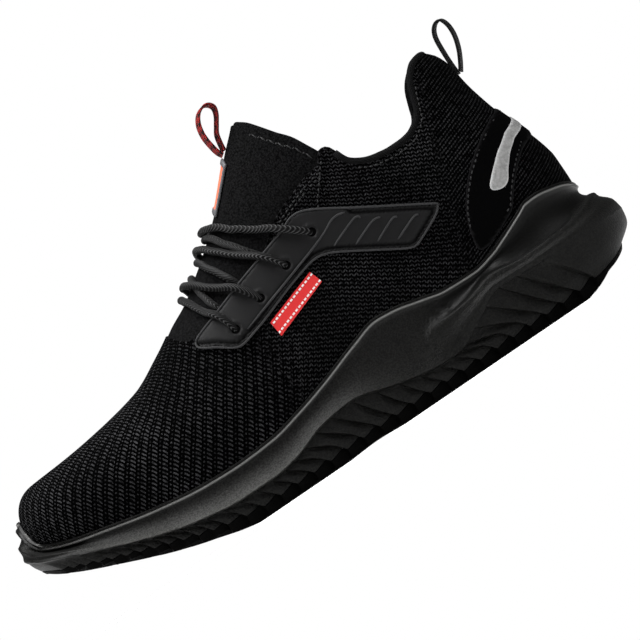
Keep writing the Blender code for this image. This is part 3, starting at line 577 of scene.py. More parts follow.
def sweep(bm, path, section, side_axis=None):
    """Closed bar along a path: its section, at a share of the way, gives offsets sideways and out."""
    last = len(path) - 1
    knots, side = [], None
    for k, at in enumerate(path):
        along = (path[min(k + 1, last)] - path[max(k - 1, 0)]).normalized()
        if side_axis is not None:
            side = side_axis
        elif side is None:
            side = along.orthogonal().normalized()
        side = (side - along * side.dot(along)).normalized()
        out = along.cross(side)
        knots.append([at + side * a + out * b for a, b in section(k / last)])
    rings = lay(bm, knots)
    seam = [v for v in rings if v.is_boundary]
    bmesh.ops.remove_doubles(bm, verts=seam, dist=0.00001)
    ends = [e for e in bm.edges if e.is_boundary]
    bmesh.ops.holes_fill(bm, edges=ends, sides=0)
    return bm


def round_section(radius, sides=ROLL_SIDES):
    turns = [math.tau * k / sides for k in range(sides)] + [0.0]
    return lambda share: [(radius(share) * math.cos(a), radius(share) * math.sin(a)) for a in turns]


def edge_line(edge, end, inwards, start, stop, step):
    """Line along an edge of the cloth, from the lateral end round the heel to the medial."""
    lines = []
    for side in (1, -1):
        lines.append([form_point(place, side, station(place, side).rise_under(edge, end), -inwards)
                      for place in spread(start, stop, step)])
    return lines[0][::-1] + lines[1][1:]


jersey_finish = Finish("jersey", Roughness=0.85, Specular_IOR_Level=0.03)
along, up = jersey_finish.flat()
jersey_weave = (along / 0.0007).wave() * (up / 0.0007).wave()
jersey = jersey_finish.done(
    colour=jersey_finish.mix(jersey_weave, (0.0020, 0.0020, 0.0021), (0.016, 0.016, 0.0165)),
    relief=jersey_weave, depth=0.00012)

fold_place = place_at(0.302 * LENGTH)
throat_place = place_at(THROAT_END)
bm = bmesh.new()
collar_path = edge_line(TOPLINE, THROAT_END, WALL * 0.5, 0.0, fold_place, 0.0012)
sweep(bm, collar_path, round_section(lambda share: LINED_ROLL))
add_piece("collar_roll", bm, jersey)
bm = bmesh.new()
for side in (1, -1):
    throat_path = [form_point(place, side, station(place, side).rise_under(TOPLINE, THROAT_END), -WALL * 0.5)
                   for place in spread(fold_place, throat_place, 0.0012)]
    sweep(bm, throat_path, round_section(lambda share: FOLD_ROLL))
add_piece("throat_fold", bm, knit)

# Collar lining
# Jersey over thin foam covers the inside of the ankle and quarters, down to the footbed.
LINING = 0.0012
LINING_END = 0.46


def lining_rises(place, side):
    here = station(place, side)
    top, bottom = here.rise_under(TOPLINE, THROAT_END), here.rise_at(here.foot + 0.006)
    return [bottom + (top - bottom) * k / 24 for k in range(25)]


lining = form_cloth(spread(0.0, place_at(LINING_END * LENGTH), 0.002), lining_rises,
                    lambda place, side, rise: -WALL - 0.0002)
add_piece("collar_lining", lining, jersey, wall=LINING)

# Tongue
# A smooth stretch sleeve padded with foam, lapped under the throat's edge. Its top edge is folded and
# zigzag stitched, and rises to a point in front of the ankle.
PAD = 0.0028
TONGUE_GAP = 0.0010
LAP = 0.008
HEM = table("x z", (LENGTH, COLLAR_HEIGHT), (
    (0.293, 0.791), (0.307, 0.833), (0.323, 0.909), (0.333, 0.953), (0.347, 1.012), (0.361, 1.050),
    (0.378, 1.102), (0.392, 1.144), (0.401, 1.164), (0.413, 1.194),
))
HEM_TOP = 0.404 * LENGTH
TONGUE_ROWS = 22
ON_TONGUE = -(WALL + TONGUE_GAP)
TONGUE_RISE = 0.0022
tongue_start, tongue_end = place_at(0.310 * LENGTH), place_at(THROAT_END + 0.7 * LAP)


def tongue_lift(place, side, rise):
    """Under the throat's edge the tongue lies a little below the knit, and comes up to it at the toe end."""
    return ON_TONGUE + TONGUE_RISE * ease((station(place, side).x - 0.600 * LENGTH) / (0.045 * LENGTH))


def tongue_rises(place, side):
    here = station(place, side)
    limit = station(min(place, throat_place - 0.006), side)
    edge = limit.point(limit.rise_under(TOPLINE, THROAT_END)).z
    bottom, top = here.rise_at(edge - LAP), here.rise_under(HEM, HEM_TOP)
    return [bottom + (top - bottom) * k / TONGUE_ROWS for k in range(TONGUE_ROWS + 1)]


def sleeve_finish():
    """Fine stretch cloth, of grain too small to show its rows."""
    finish = Finish("sleeve", Roughness=0.85, Specular_IOR_Level=0.02)
    grain = finish.noise(finish.spot(), 1500.0, 2.0, 0.6)
    dots = finish.cells(finish.spot(), 1100.0)
    cloth = grain * 0.6 + (1 - dots) * 0.4
    colour = finish.mix(cloth.between(0.30, 0.75), (0.0008, 0.0008, 0.0009), (0.0085, 0.0085, 0.0088))
    return finish.done(colour=colour, relief=cloth, depth=0.00012)


sleeve = sleeve_finish()
tongue_places = (spread(tongue_start, place_at(HEM_TOP), 0.0010)[:-1]
                 + spread(place_at(HEM_TOP), tongue_end, 0.0014))
tongue = form_cloth(tongue_places, tongue_rises, tongue_lift)
add_piece("tongue_sleeve", tongue, sleeve, ("tongue",), wall=PAD)
bm = bmesh.new()
hem_path = []
for side in (1, -1):
    places = spread(tongue_start, place_at(HEM_TOP), 0.0010)
    line = [form_point(place, side, station(place, side).rise_under(HEM, HEM_TOP), ON_TONGUE - PAD / 2)
            for place in places]
    hem_path += line if side > 0 else line[-2::-1]
sweep(bm, hem_path, round_section(lambda share: PAD / 2 + 0.0001))
add_piece("tongue_hem", bm, sleeve)

# Footbed
# A loose cloth-topped foam insole that follows the cup's floor.
INSOLE = 0.0045
LAP_GAP = 0.0008
GAP = 0.0003


def footbed_line(place, side, height, inset):
    here = station(place, side)
    z = here.foot + GAP + height
    at = here.point(here.rise_at(z), inset)
    return Vector((at.x, at.y, z))


def across(line, count, crown):
    """A row of knots from the outer edge to the inner one, with a low crown or dip between."""
    outer, inner = line
    row = []
    for k in range(count + 1):
        t = k / count
        at = outer.lerp(inner, t)
        at.z += crown * 4 * t * (1 - t)
        row.append(at)
    return row


inside = -(WALL + 1.5 * LAP_GAP) - LINING
bm = bmesh.new()
places = spread(0.0, TOTAL, 0.0022)
for height, crown in ((0.0, 0.0), (INSOLE, -0.0006)):
    knots = [across([footbed_line(place, side, height, inside) for side in (1, -1)], 14,
                    crown) for place in places]
    lay(bm, knots)
edges = [e for e in bm.edges if e.is_boundary]
bmesh.ops.bridge_loops(bm, edges=edges)
bmesh.ops.remove_doubles(bm, verts=bm.verts, dist=0.00003)
bmesh.ops.recalc_face_normals(bm, faces=bm.faces)
cloth_finish = Finish("footbed_cloth", Roughness=0.85, Specular_IOR_Level=0.2)
x, y, z = cloth_finish.place()
cloth_weave = (x / 0.0009).wave() * (y / 0.0009).wave()
footbed_cloth = cloth_finish.done(
    colour=cloth_finish.mix(cloth_weave, (0.018, 0.018, 0.019), (0.06, 0.06, 0.062)), relief=cloth_weave,
    depth=0.0002)
add_piece("cloth_footbed", bm, footbed_cloth, ("insole",), edge=40)

# Cup sole
# A moulded midsole of dense foam. A fine bead runs along its top edge, over a hollow panel. At the heel a
# crease and a grained shoulder follow, at the forefoot a step, and then ribs like shingles, which end in
# scallops.
RIB_PITCH = 0.0086
TOE_PITCH = 0.0065
RIB_SHARES = (0.0, 0.04, 0.08, 0.16, 0.28, 0.42, 0.58, 0.75, 0.90)
RIB_DEPTH = 0.0032
RIB_SLANT = 0.95
SCALLOP = 0.0022
BEAD = ((0.20, 0.00), (0.75, 0.05), (0.95, 0.35), (0.92, 0.80), (0.55, 1.05), (0.85, 1.25), (1.30, 1.45),
        (1.50, 1.85), (1.35, 2.25), (0.85, 2.50))     # how far out, and how far down, in mm
TOE_BEAD = 2.2
STEP = (0.0011, 0.0007)
CUP_GAP = 0.0003
SOLE_SCALES = (LENGTH, STACK, STACK)
FOXING = table("x z", (LENGTH, STACK), (
    (0.030, 1.347), (0.037, 1.500), (0.050, 1.600), (0.067, 1.653), (0.100, 1.703), (0.117, 1.693),
    (0.133, 1.623), (0.167, 1.473), (0.200, 1.350), (0.233, 1.287), (0.283, 1.307), (0.317, 1.383),
    (0.363, 1.487), (0.390, 1.507), (0.432, 1.400), (0.499, 1.180), (0.550, 1.040), (0.607, 0.923),
    (0.667, 0.893), (0.722, 0.917), (0.799, 1.027), (0.876, 1.200), (0.927, 1.333), (0.953, 1.430),
    (0.968, 1.520), (0.975, 1.667), (0.979, 1.867), (0.982, 2.000),
))
CREASE = table("x z out", SOLE_SCALES, (
    (0.037, 1.267, 0.060), (0.067, 1.160, 0.073), (0.100, 1.083, 0.083), (0.167, 1.050, 0.083),
    (0.217, 1.110, 0.083), (0.267, 0.987, 0.093), (0.300, 0.950, 0.113), (0.350, 1.033, 0.120),
    (0.417, 1.050, 0.113), (0.500, 0.950, 0.100), (0.600, 0.750, 0.100), (0.667, 0.717, 0.100),
    (0.733, 0.743, 0.100), (0.800, 0.850, 0.100), (0.873, 1.033, 0.107), (0.933, 1.227, 0.140),
    (0.967, 1.400, 0.180), (0.982, 1.667, 0.200),
))
SHOULDER = table("x z out", SOLE_SCALES, (
    (0.037, 1.150, 0.207), (0.067, 1.050, 0.207), (0.100, 0.983, 0.200), (0.167, 0.950, 0.200),
    (0.217, 0.983, 0.200), (0.267, 0.883, 0.187), (0.300, 0.833, 0.167), (0.350, 0.867, 0.143),
    (0.417, 0.883, 0.133), (0.500, 0.833, 0.133), (0.600, 0.623, 0.133), (0.667, 0.567, 0.140),
    (0.733, 0.607, 0.140), (0.800, 0.727, 0.140), (0.873, 0.950, 0.140), (0.933, 1.180, 0.160),
    (0.967, 1.350, 0.197), (0.982, 1.533, 0.207),
))
RIB_TOP = table("x z out", SOLE_SCALES, (
    (0.037, 0.833, 0.380), (0.067, 0.833, 0.320), (0.100, 0.817, 0.273), (0.167, 0.840, 0.233),
    (0.217, 0.860, 0.227), (0.267, 0.633, 0.227), (0.317, 0.417, 0.200), (0.360, 0.433, 0.180),
    (0.417, 0.550, 0.167), (0.483, 0.717, 0.160), (0.533, 0.667, 0.160), (0.593, 0.483, 0.167),
    (0.633, 0.427, 0.167), (0.683, 0.427, 0.167), (0.760, 0.527, 0.167), (0.837, 0.743, 0.160),
    (0.887, 0.933, 0.160), (0.927, 1.100, 0.167), (0.967, 1.283, 0.190), (0.982, 1.383, 0.190),
))
RIB_FOOT = table("x z out", SOLE_SCALES, (
    (0.037, 0.600, 0.320), (0.067, 0.517, 0.280), (0.100, 0.433, 0.240), (0.167, 0.367, 0.200),
    (0.267, 0.333, 0.187), (0.317, 0.293, 0.173), (0.417, 0.333, 0.160), (0.533, 0.367, 0.153),
    (0.620, 0.293, 0.153), (0.667, 0.293, 0.153), (0.717, 0.343, 0.153), (0.767, 0.440, 0.150),
    (0.817, 0.600, 0.147), (0.867, 0.767, 0.140), (0.917, 0.983, 0.140), (0.950, 1.133, 0.147),
    (0.970, 1.233, 0.153), (0.982, 1.293, 0.157),
))
BASE = table("x z out", SOLE_SCALES, (
    (0.037, 0.417, 0.093), (0.050, 0.350, 0.117), (0.067, 0.283, 0.133), (0.100, 0.200, 0.117),
    (0.133, 0.167, 0.100), (0.173, 0.153, 0.100), (0.300, 0.153, 0.100), (0.400, 0.167, 0.093),
    (0.500, 0.167, 0.093), (0.600, 0.153, 0.100), (0.667, 0.157, 0.107), (0.717, 0.220, 0.107),
    (0.767, 0.333, 0.107), (0.817, 0.493, 0.100), (0.867, 0.673, 0.093), (0.917, 0.863, 0.073),
    (0.950, 1.007, 0.067), (0.970, 1.117, 0.073), (0.982, 1.200, 0.100),
))
# Shallow cuts that fan over the arch: x of the first one's top, then their spacing, run and drop
ARCH_CUTS = {"first": 0.318 * LENGTH, "pitch": 0.0074, "count": 6, "top": 1.36 * STACK, "run": 0.0125,
             "drop": 0.0105}

rib_first, rib_last = place_at(0.100 * LENGTH), place_at(0.955 * LENGTH)
rib_turn = place_at(0.715 * LENGTH)
rib_starts = [rib_first]
while rib_starts[-1] < rib_last:
    rib_starts.append(rib_starts[-1] + (RIB_PITCH if rib_starts[-1] < rib_turn else TOE_PITCH))
first_fine = next(k for k, start in enumerate(rib_starts) if start >= rib_turn)
step_starts = rib_starts[:first_fine] + rib_starts[first_fine::2]


def groove(place, starts):
    """How deep a column is cut below a rib's face: sharply down past a rib's edge, then rising to the next."""
    if not starts[0] <= place < starts[-1]:
        return 0.0
    k = next(i for i in range(len(starts) - 1) if place < starts[i + 1])
    share = (place - starts[k]) / (starts[k + 1] - starts[k])
    return min(1.0, share / 0.08) * (1 - share) ** 1.2


@lru_cache(maxsize=None)
def fade(place):
    return ease(min(place / (0.8 * HEEL_ARC), (TOTAL - place) / (0.35 * TOE_ARC)))


@lru_cache(maxsize=None)
def leaning(place, side, rise):
    return station(min(place + RIB_SLANT * rise * fade(place), TOTAL), side)


def lean(place, side, level):
    x = station(place, side).x
    return leaning(place, side, read(level, "z", x) - read(BASE, "z", x))


def level_point(place, side, level, depth=0.0, scallop=0.0):
    """Point of the sole's side at a level of its tables, cut in between the ribs."""
    here = lean(place, side, level)
    cut_in = groove(place, rib_starts) * fade(place)
    at = here.spine + here.aim * (here.reach + read(level, "out", here.x) - depth * cut_in)
    return Vector((at.x, at.y, read(level, "z", here.x) + scallop * cut_in))


def bead_point(place, side, out, drop):
    """Point of the bead, given in mm, which is broader round the toe's tip."""
    here = lean(place, side, RIB_TOP)
    share = ease((here.x - 0.88 * LENGTH) / (UPPER_TOE - 0.88 * LENGTH))
    z = read(FOXING, "z", here.x) - drop * 0.001 * (1 + (TOE_BEAD - 1) * 0.5 * share)
    reach = here.point(here.rise_at(z)) - here.spine
    at = here.spine + here.aim * (math.hypot(reach.x, reach.y) + out * 0.001 * (1 + (TOE_BEAD - 1) * share))
    return Vector((at.x, at.y, z))


def cup_point(place, side, share):
    here = lean(place, side, RIB_TOP)
    top = here.rise_at(read(FOXING, "z", here.x))
    return here.point(-math.pi / 2 + (top + math.pi / 2) * share, CUP_GAP)


def panel_point(place, side, share):
    """Point of the hollow panel between the bead and the crease, with the cuts over the arch."""
    top, low = bead_point(place, side, 0.75, 2.6), level_point(place, side, CREASE)
    at = top.lerp(low, share)
    hollow = 0.0012 * 4 * share * (1 - share)
    for k in range(ARCH_CUTS["count"]):
        start = ARCH_CUTS["first"] + k * ARCH_CUTS["pitch"]
        t = (ARCH_CUTS["top"] - 0.0012 * abs(k - 3) - at.z) / ARCH_CUTS["drop"]
        if 0 < t < 1:
            away = (at.x - (start - ARCH_CUTS["run"] * t)) / 0.0012
            hollow += 0.0009 * math.exp(-away ** 2) * ease(4 * t * (1 - t))
    return at - lean(place, side, RIB_TOP).aim * hollow


def flank_point(place, side, share):
    """Point of the forefoot's flank, which curves out from the bead down to the ribs' top edge."""
    top, low = bead_point(place, side, 0.75, 2.6), level_point(place, side, RIB_TOP)
    at = top.lerp(low, share ** 2.3)
    at.z = top.z + (low.z - top.z) * share
    return at


def forefoot(x):
    """How far the flank is the forefoot's: not at all at the heel, nor round the toe's tip."""
    return ease((x - 0.27 * LENGTH) / (0.09 * LENGTH)) * (1 - ease((x - 0.89 * LENGTH) / (0.06 * LENGTH)))


def sole_line(place, side):
    """Knots of the cup's section, from its floor's edge up the inside, over the bead and down to the base."""
    line = smooth_path([cup_point(place, side, k / 4) for k in range(5)], 2)[:-1]
    line += [bead_point(place, side, out, drop) for out, drop in BEAD]
    here = lean(place, side, RIB_TOP)
    front = forefoot(here.x)
    crease, shoulder, rib_top = (level_point(place, side, level) for level in (CREASE, SHOULDER, RIB_TOP))
    corner = crease.lerp(shoulder, 0.75)
    corner.z = crease.z + (shoulder.z - crease.z) * 0.25
    line += [panel_point(place, side, k / 8).lerp(flank_point(place, side, 0.62 * k / 8),
                                                  front) for k in range(9)]
    swell = (shoulder.lerp(rib_top, 0.55) + here.aim * 0.0011
             + Vector((0, 0, 0.0013 * (1 - ease(here.x / (0.3 * LENGTH))))))
    rear = smooth_path([crease, corner, shoulder, swell, rib_top], 3)[1:]
    line += [at.lerp(flank_point(place, side, 0.62 + 0.38 * (k + 1) / len(rear)), front)
             for k, at in enumerate(rear)]
    step = line[-1] - here.aim * STEP[0] * front - Vector((0, 0, 0.0001 + STEP[1] * front))
    cut_top = level_point(place, side, RIB_TOP, 0.35 * RIB_DEPTH) - level_point(place, side, RIB_TOP)
    low = [step + cut_top, level_point(place, side, RIB_FOOT, RIB_DEPTH),
           level_point(place, side, BASE, 0.8 * RIB_DEPTH, SCALLOP)]
    line += smooth_path(low, 8)
    here = lean(place, side, BASE)
    line.append(line[-1] - here.aim * 0.002 + Vector((0, 0, 0.0002)))
    return line


def close_across(bm, left, right):
    """Strip of faces between the outer and the inner half of a ring."""
    for k in range(len(left) - 1):
        corners = list(dict.fromkeys((left[k], left[k + 1], right[k + 1], right[k])))
        if len(corners) > 2:
            bm.faces.new(corners)


def foam_finish():
    """Satin foam: smooth on the heel's panel, grained on the shoulder, the ribs and the forefoot."""
    finish = Finish("foam", Specular_IOR_Level=0.12)
    spot = finish.spot()
    grain = finish.noise(spot, 1300.0, 2.0, 0.6)
    pores = finish.noise(spot, 700.0, 3.0, 0.6)
    band = finish.node("ShaderNodeAttribute", {"attribute_name": "grained"}, out="Fac")
    painted_bead_highlight = finish.node("ShaderNodeAttribute", {"attribute_name": "painted_bead_highlight"}, out="Fac")
    painted_flank_light = finish.node("ShaderNodeAttribute", {"attribute_name": "painted_flank_light"}, out="Fac")
    speckle = grain.between(0.35, 0.65)
    foam_shade = finish.mix(speckle * (0.25 + band * 0.75), (0.0009, 0.0009, 0.0008),
                            (0.0075, 0.0075, 0.0069))
    # The forefoot's flank is lightened towards its lower part as painted light.
    foam_shade = finish.mix(painted_flank_light * (0.35 + speckle * 0.65), foam_shade, (0.055, 0.055, 0.052))
    # The bead along the top edge is coloured light as a painted highlight.
    colour = finish.mix(painted_bead_highlight, foam_shade, (0.160, 0.160, 0.156))
    rough = 0.40 + band * 0.10 + (pores - 0.5) * 0.12
    return finish.done(colour=colour, rough=rough, relief=grain * (0.15 + band * 0.85) + pores * 0.3,
                       depth=0.00030)


def nearest(bm, points):
    """Corners of a mesh that stand at the points."""
    tree = KDTree(len(bm.verts))
    for vert in bm.verts:
        tree.insert(vert.co, vert.index)
    tree.balance()
    return [bm.verts[tree.find(point)[1]] for point in points]


foam = foam_finish()
sole_places = spread(0.0, rib_first, 0.0010)[:-1]
for start, end in zip(rib_starts, rib_starts[1:]):
    sole_places += [start + (end - start) * share for share in RIB_SHARES]
sole_places += spread(rib_starts[-1], TOTAL, 0.0010)
bm = bmesh.new()
for side in (1, -1):
    lay(bm, [sole_line(place, side) for place in sole_places])
bmesh.ops.remove_doubles(bm, verts=bm.verts, dist=0.00003)
bm.verts.index_update()
bm.verts.ensure_lookup_table()
for end in (0, -1):
    left, right = (nearest(bm, [sole_line(place, side)[end] for place in sole_places]) for side in (1, -1))
    close_across(bm, left, right)
bmesh.ops.recalc_face_normals(bm, faces=bm.faces)
grained, bead_highlight_marks, painted_flank_light = (bm.verts.layers.float.new(name) for name in ("grained", "painted_bead_highlight", "painted_flank_light"))
for vert in bm.verts:
    x, z = vert.co.x, vert.co.z
    high, low = read(FOXING, "z", x), read(RIB_TOP, "z", x)
    # The bead's rows get the painted highlight.
    vert[bead_highlight_marks] = math.exp(-((high - z - 0.0018) / 0.00045) ** 2)
    # Painted light on the forefoot's flank, growing downwards and towards the toe.
    down = (high - 0.003 - z) / (high - 0.003 - low)
    vert[painted_flank_light] = (forefoot(x) * max(0.0, down) ** 1.6 * ease((x - 0.36 * LENGTH) / (0.34 * LENGTH))
                    if down < 1.02 else 0.0)
    vert[grained] = max(forefoot(x), ease((read(CREASE, "z", x) + 0.0005 - z) / 0.0015))
add_piece("cup_midsole", bm, foam, ("midsole",), edge=50)

# Outsole
# A thin layer of black rubber under the foam, with notched edges and blocks of tread, turned up round
# the toe.
LUG_DEPTH = 0.0010
TOE_STEP = 0.0024
LUG_INSET = 0.0011
TREAD_DEPTH = 0.0016
TREAD_PITCH = 0.0125
UNDER = table("x z", (LENGTH, STACK), (
    (0.013, 0.493), (0.027, 0.400), (0.040, 0.347), (0.053, 0.280), (0.067, 0.200), (0.080, 0.130),
    (0.093, 0.073), (0.107, 0.023), (0.120, 0.000), (0.427, 0.000), (0.483, 0.027), (0.540, 0.000),
    (0.680, 0.000), (0.707, 0.040), (0.740, 0.127), (0.783, 0.247), (0.817, 0.360), (0.850, 0.487),
    (0.883, 0.620), (0.917, 0.760), (0.950, 0.907), (0.973, 1.033), (0.990, 1.150),
))


def tread(x, y):
    """How deep the tread is cut at a point underneath: chevrons across, with a channel along each side."""
    lane = abs(y) / 0.014
    chevron = ((x + 0.45 * abs(y)) / TREAD_PITCH) % 1.0
    cut = ease((0.13 - abs(chevron - 0.5)) / 0.05)
    channel = ease((0.10 - abs(lane % 1.0 - 0.5)) / 0.05)
    return max(cut, channel) * TREAD_DEPTH


def rubber_line(place, side):
    """Knots of the outsole's half section: from under the foam, round the edge, to the middle underneath."""
    base = level_point(place, side, BASE, 0.8 * RIB_DEPTH, SCALLOP)
    here = station(place, side)
    notch = LUG_DEPTH if place < rib_turn else TOE_STEP
    cut_in = groove(place, step_starts)
    top = base - Vector((0, 0, GAP))
    low = base - here.aim * LUG_INSET * (1 - cut_in)
    z = min(read(UNDER, "z", low.x) + notch * cut_in * fade(place), base.z - 2 * LUG_INSET)
    line = [top - here.aim * 0.004, top, top.lerp(Vector((low.x, low.y, z)), 0.5), Vector((low.x, low.y, z))]
    inner = here.spine + Vector((0, 0, z))
    edge = line[-1]
    for k in range(1, 31):
        share = k / 30
        at = edge.lerp(inner, share)
        depth = tread(at.x, at.y - here.spine.y) * ease(share / 0.12)
        line.append(Vector((at.x, at.y,
                            read(UNDER, "z", at.x) * ease(share * 8) + z * (1 - ease(share * 8)) + depth)))
    return line


rubber_finish = Finish("tread_rubber", Specular_IOR_Level=0.03)
rubber_grain = rubber_finish.noise(rubber_finish.spot(), 1800.0, 3.0, 0.6)
rubber = rubber_finish.done(colour=rubber_finish.mix(rubber_grain, (0.0004, 0.0004, 0.0004),
                                                     (0.0018, 0.0018, 0.0017)),
                            rough=0.62 + rubber_grain * 0.2, relief=rubber_grain, depth=0.0002)
rubber_places = spread(0.0, rib_first, 0.0014)[:-1]
for start, end in zip(step_starts, step_starts[1:]):
    rubber_places += [start + (end - start) * share for share in RIB_SHARES[:3] + RIB_SHARES[4:]]
rubber_places += spread(step_starts[-1], TOTAL, 0.0014)
bm = bmesh.new()
for side in (1, -1):
    made = lay(bm, [rubber_line(place, side) for place in rubber_places])
bmesh.ops.remove_doubles(bm, verts=bm.verts, dist=0.00005)
left = [e for e in bm.edges if e.is_boundary]
bmesh.ops.holes_fill(bm, edges=left, sides=0)
bmesh.ops.recalc_face_normals(bm, faces=bm.faces)
add_piece("tread_outsole", bm, rubber, ("outsole",), edge=35)

# Eyestays
# Two moulded films, welded to the knit beside the throat. Each has a raised bead and a groove along its
# lower border, a spine with slanted ribs behind it, and four plain eyelets.
EYESTAY = 0.0018
EYESTAY_OUTLINE = (
    (0.615, 0.618), (0.564, 0.657), (0.522, 0.692), (0.467, 0.731), (0.442, 0.750), (0.422, 0.763),
    (0.411, 0.778), (0.397, 0.783), (0.382, 0.774), (0.355, 0.737), (0.325, 0.692), (0.272, 0.618),
    (0.223, 0.550), (0.221, 0.543), (0.231, 0.518), (0.278, 0.469), (0.289, 0.472), (0.328, 0.527),
    (0.378, 0.598), (0.392, 0.614), (0.411, 0.624), (0.439, 0.608), (0.467, 0.588), (0.494, 0.566),
    (0.522, 0.543), (0.550, 0.524), (0.569, 0.513), (0.583, 0.530), (0.597, 0.557), (0.617, 0.582),
    (0.621, 0.598),
)
EYELETS = ((0.561, 0.572), (0.507, 0.614), (0.450, 0.657), (0.393, 0.702))
EYELET = 0.0042
BORDER = slice(10, 30)     # corners of the outline that the groove follows
SPINE_LINE = ((0.547, 0.550), (0.400, 0.657), (0.358, 0.698), (0.338, 0.694))
RIB_LINES = (
    ((0.378, 0.621), (0.333, 0.660), (0.324, 0.650)), ((0.351, 0.585), (0.314, 0.618), (0.300, 0.615)),
    ((0.323, 0.553), (0.288, 0.588), (0.280, 0.584)), ((0.297, 0.521), (0.261, 0.553), (0.253, 0.550)),
)


def in_sizes(line):
    return [Vector((x * LENGTH, z * COLLAR_HEIGHT)) for x, z in line]


def away_from(point, line, closed=False):
    """Distance from a point of the side view to a line of it."""
    ends = list(zip(line, line[1:] + line[:1])) if closed else list(zip(line, line[1:]))
    best = 1.0
    for a, b in ends:
        run = b - a
        share = min(1.0, max(0.0, (point - a).dot(run) / run.length_squared))
        best = min(best, (point - a - run * share).length)
    return best


def rounded(line, radius):
    """A closed outline with its corners rounded off."""
    ring = []
    for before, at, after in zip(line[-1:] + line[:-1], line, line[1:] + line[:1]):
        a = at.lerp(before, min(0.48, radius / (before - at).length))
        b = at.lerp(after, min(0.48, radius / (after - at).length))
        ring += [a.lerp(at, t).lerp(at.lerp(b, t), t) for t in (0.0, 0.35, 0.65, 1.0)]
    return ring


def blank(outline, step, holes=()):
    """Flat sheet cut to an outline of the side view, with round holes, and scored into small faces."""
    bm = bmesh.new()
    for ring in (outline, *holes):
        verts = [bm.verts.new((p.x, 0, p.y)) for p in ring]
        for a, b in zip(verts, verts[1:] + verts[:1]):
            bm.edges.new((a, b))
    bmesh.ops.triangle_fill(bm, use_beauty=True, use_dissolve=False, edges=bm.edges, normal=(0, 1, 0))
    for axis in (0, 2):
        low, high = (f(p[axis // 2] for p in outline) for f in (min, max))
        normal = Vector((axis == 0, 0, axis == 2))
        for at in spread(low, high, step)[1:-1]:
            geom = [*bm.verts, *bm.edges, *bm.faces]
            bmesh.ops.bisect_plane(bm, geom=geom, dist=0.000002, plane_co=normal * at, plane_no=normal)
    return bm


def drape(bm, side, top, place_of):
    """Lays a flat blank on the last and gives it its thickness; top is the height of its face at a point."""
    flat = bm.loops.layers.uv.get("flat") or bm.loops.layers.uv.new("flat")
    drawn = bmesh.ops.extrude_face_region(bm, geom=list(bm.faces))["geom"]
    upper = {v for v in drawn if isinstance(v, bmesh.types.BMVert)}
    spots = {v: v.co.copy() for v in bm.verts}
    for vert, spot in spots.items():
        place = place_of(spot.x)
        rise = station(place, side).rise_at(spot.z)
        base = knit_lift(place, side, rise)
        vert.co = form_point(place, side, rise,
                             base + (top(Vector((spot.x, spot.z))) if vert in upper else -0.0004))
    for face in bm.faces:
        for loop in face.loops:
            loop[flat].uv = (spots[loop.vert].x, spots[loop.vert].z)
    bmesh.ops.recalc_face_normals(bm, faces=bm.faces)
    return bm


eyestay_outline = rounded(in_sizes(EYESTAY_OUTLINE), 0.005)
border_line = in_sizes(EYESTAY_OUTLINE[BORDER])
spine_line = in_sizes(SPINE_LINE)
rib_lines = [in_sizes(line) for line in RIB_LINES]


def circle(x, z, radius, count=16):
    return [Vector((x + radius * math.cos(a), z + radius * math.sin(a))) for a in
            (math.tau * k / count for k in range(count))]


def side_place(x):
    """Place along the outline at x, on the shoe's straight run."""
    return HEEL_ARC + x - HEEL_AXIS


def on_knit(place, side, z, lift):
    """Point above the knit's face at a height on the side."""
    rise = station(place, side).rise_at(z)
    return form_point(place, side, rise, knit_lift(place, side, rise) + lift)


def channel(point):
    """1 in the middle of the channel that follows the film's lower border, 0 beside it."""
    return math.exp(-((away_from(point, border_line) - 0.0020) / 0.00085) ** 4)


def eyestay_top(point):
    """Height of the film's face: a rounded edge, the channel along its border, and dished eyelets."""
    edge = away_from(point, eyestay_outline, closed=True)
    height = EYESTAY * (0.45 + 0.55 * ease(edge / 0.0008)) - 0.0010 * channel(point)
    for x, z in EYELETS:
        rim = (point - Vector((x * LENGTH, z * COLLAR_HEIGHT))).length - EYELET / 2
        height += (0.00045 * math.exp(-((rim - 0.0009) / 0.0006) ** 2)
                   - 0.0002 * math.exp(-(rim / 0.0004) ** 2))
    return height


def moulded_finish():
    """Matt film, finely grained; its deep channel is darkened with painted shade."""
    finish = Finish("moulded_film", Specular_IOR_Level=0.06)
    grain = finish.noise(finish.spot(), 3200.0, 2.0, 0.6)
    cloud = finish.noise(finish.spot(), 120.0, 2.0)
    painted_channel_shade = finish.node("ShaderNodeAttribute", {"attribute_name": "painted_channel_shade"}, out="Fac")
    face = finish.mix(grain * 0.6 + cloud * 0.4, (0.0085, 0.0085, 0.0088), (0.0135, 0.0135, 0.0138))
    painted_edge_highlight = finish.node("ShaderNodeAttribute", {"attribute_name": "painted_edge_highlight"}, out="Fac")
    # The rim and the ribs are coloured lighter as a painted highlight.
    colour = finish.mix(painted_edge_highlight, finish.mix(painted_channel_shade, face, (0.0004, 0.0004, 0.0005)), (0.034, 0.034, 0.035))
    return finish.done(colour=colour, rough=0.52 + (cloud - 0.5) * 0.15, relief=grain, depth=0.00008)


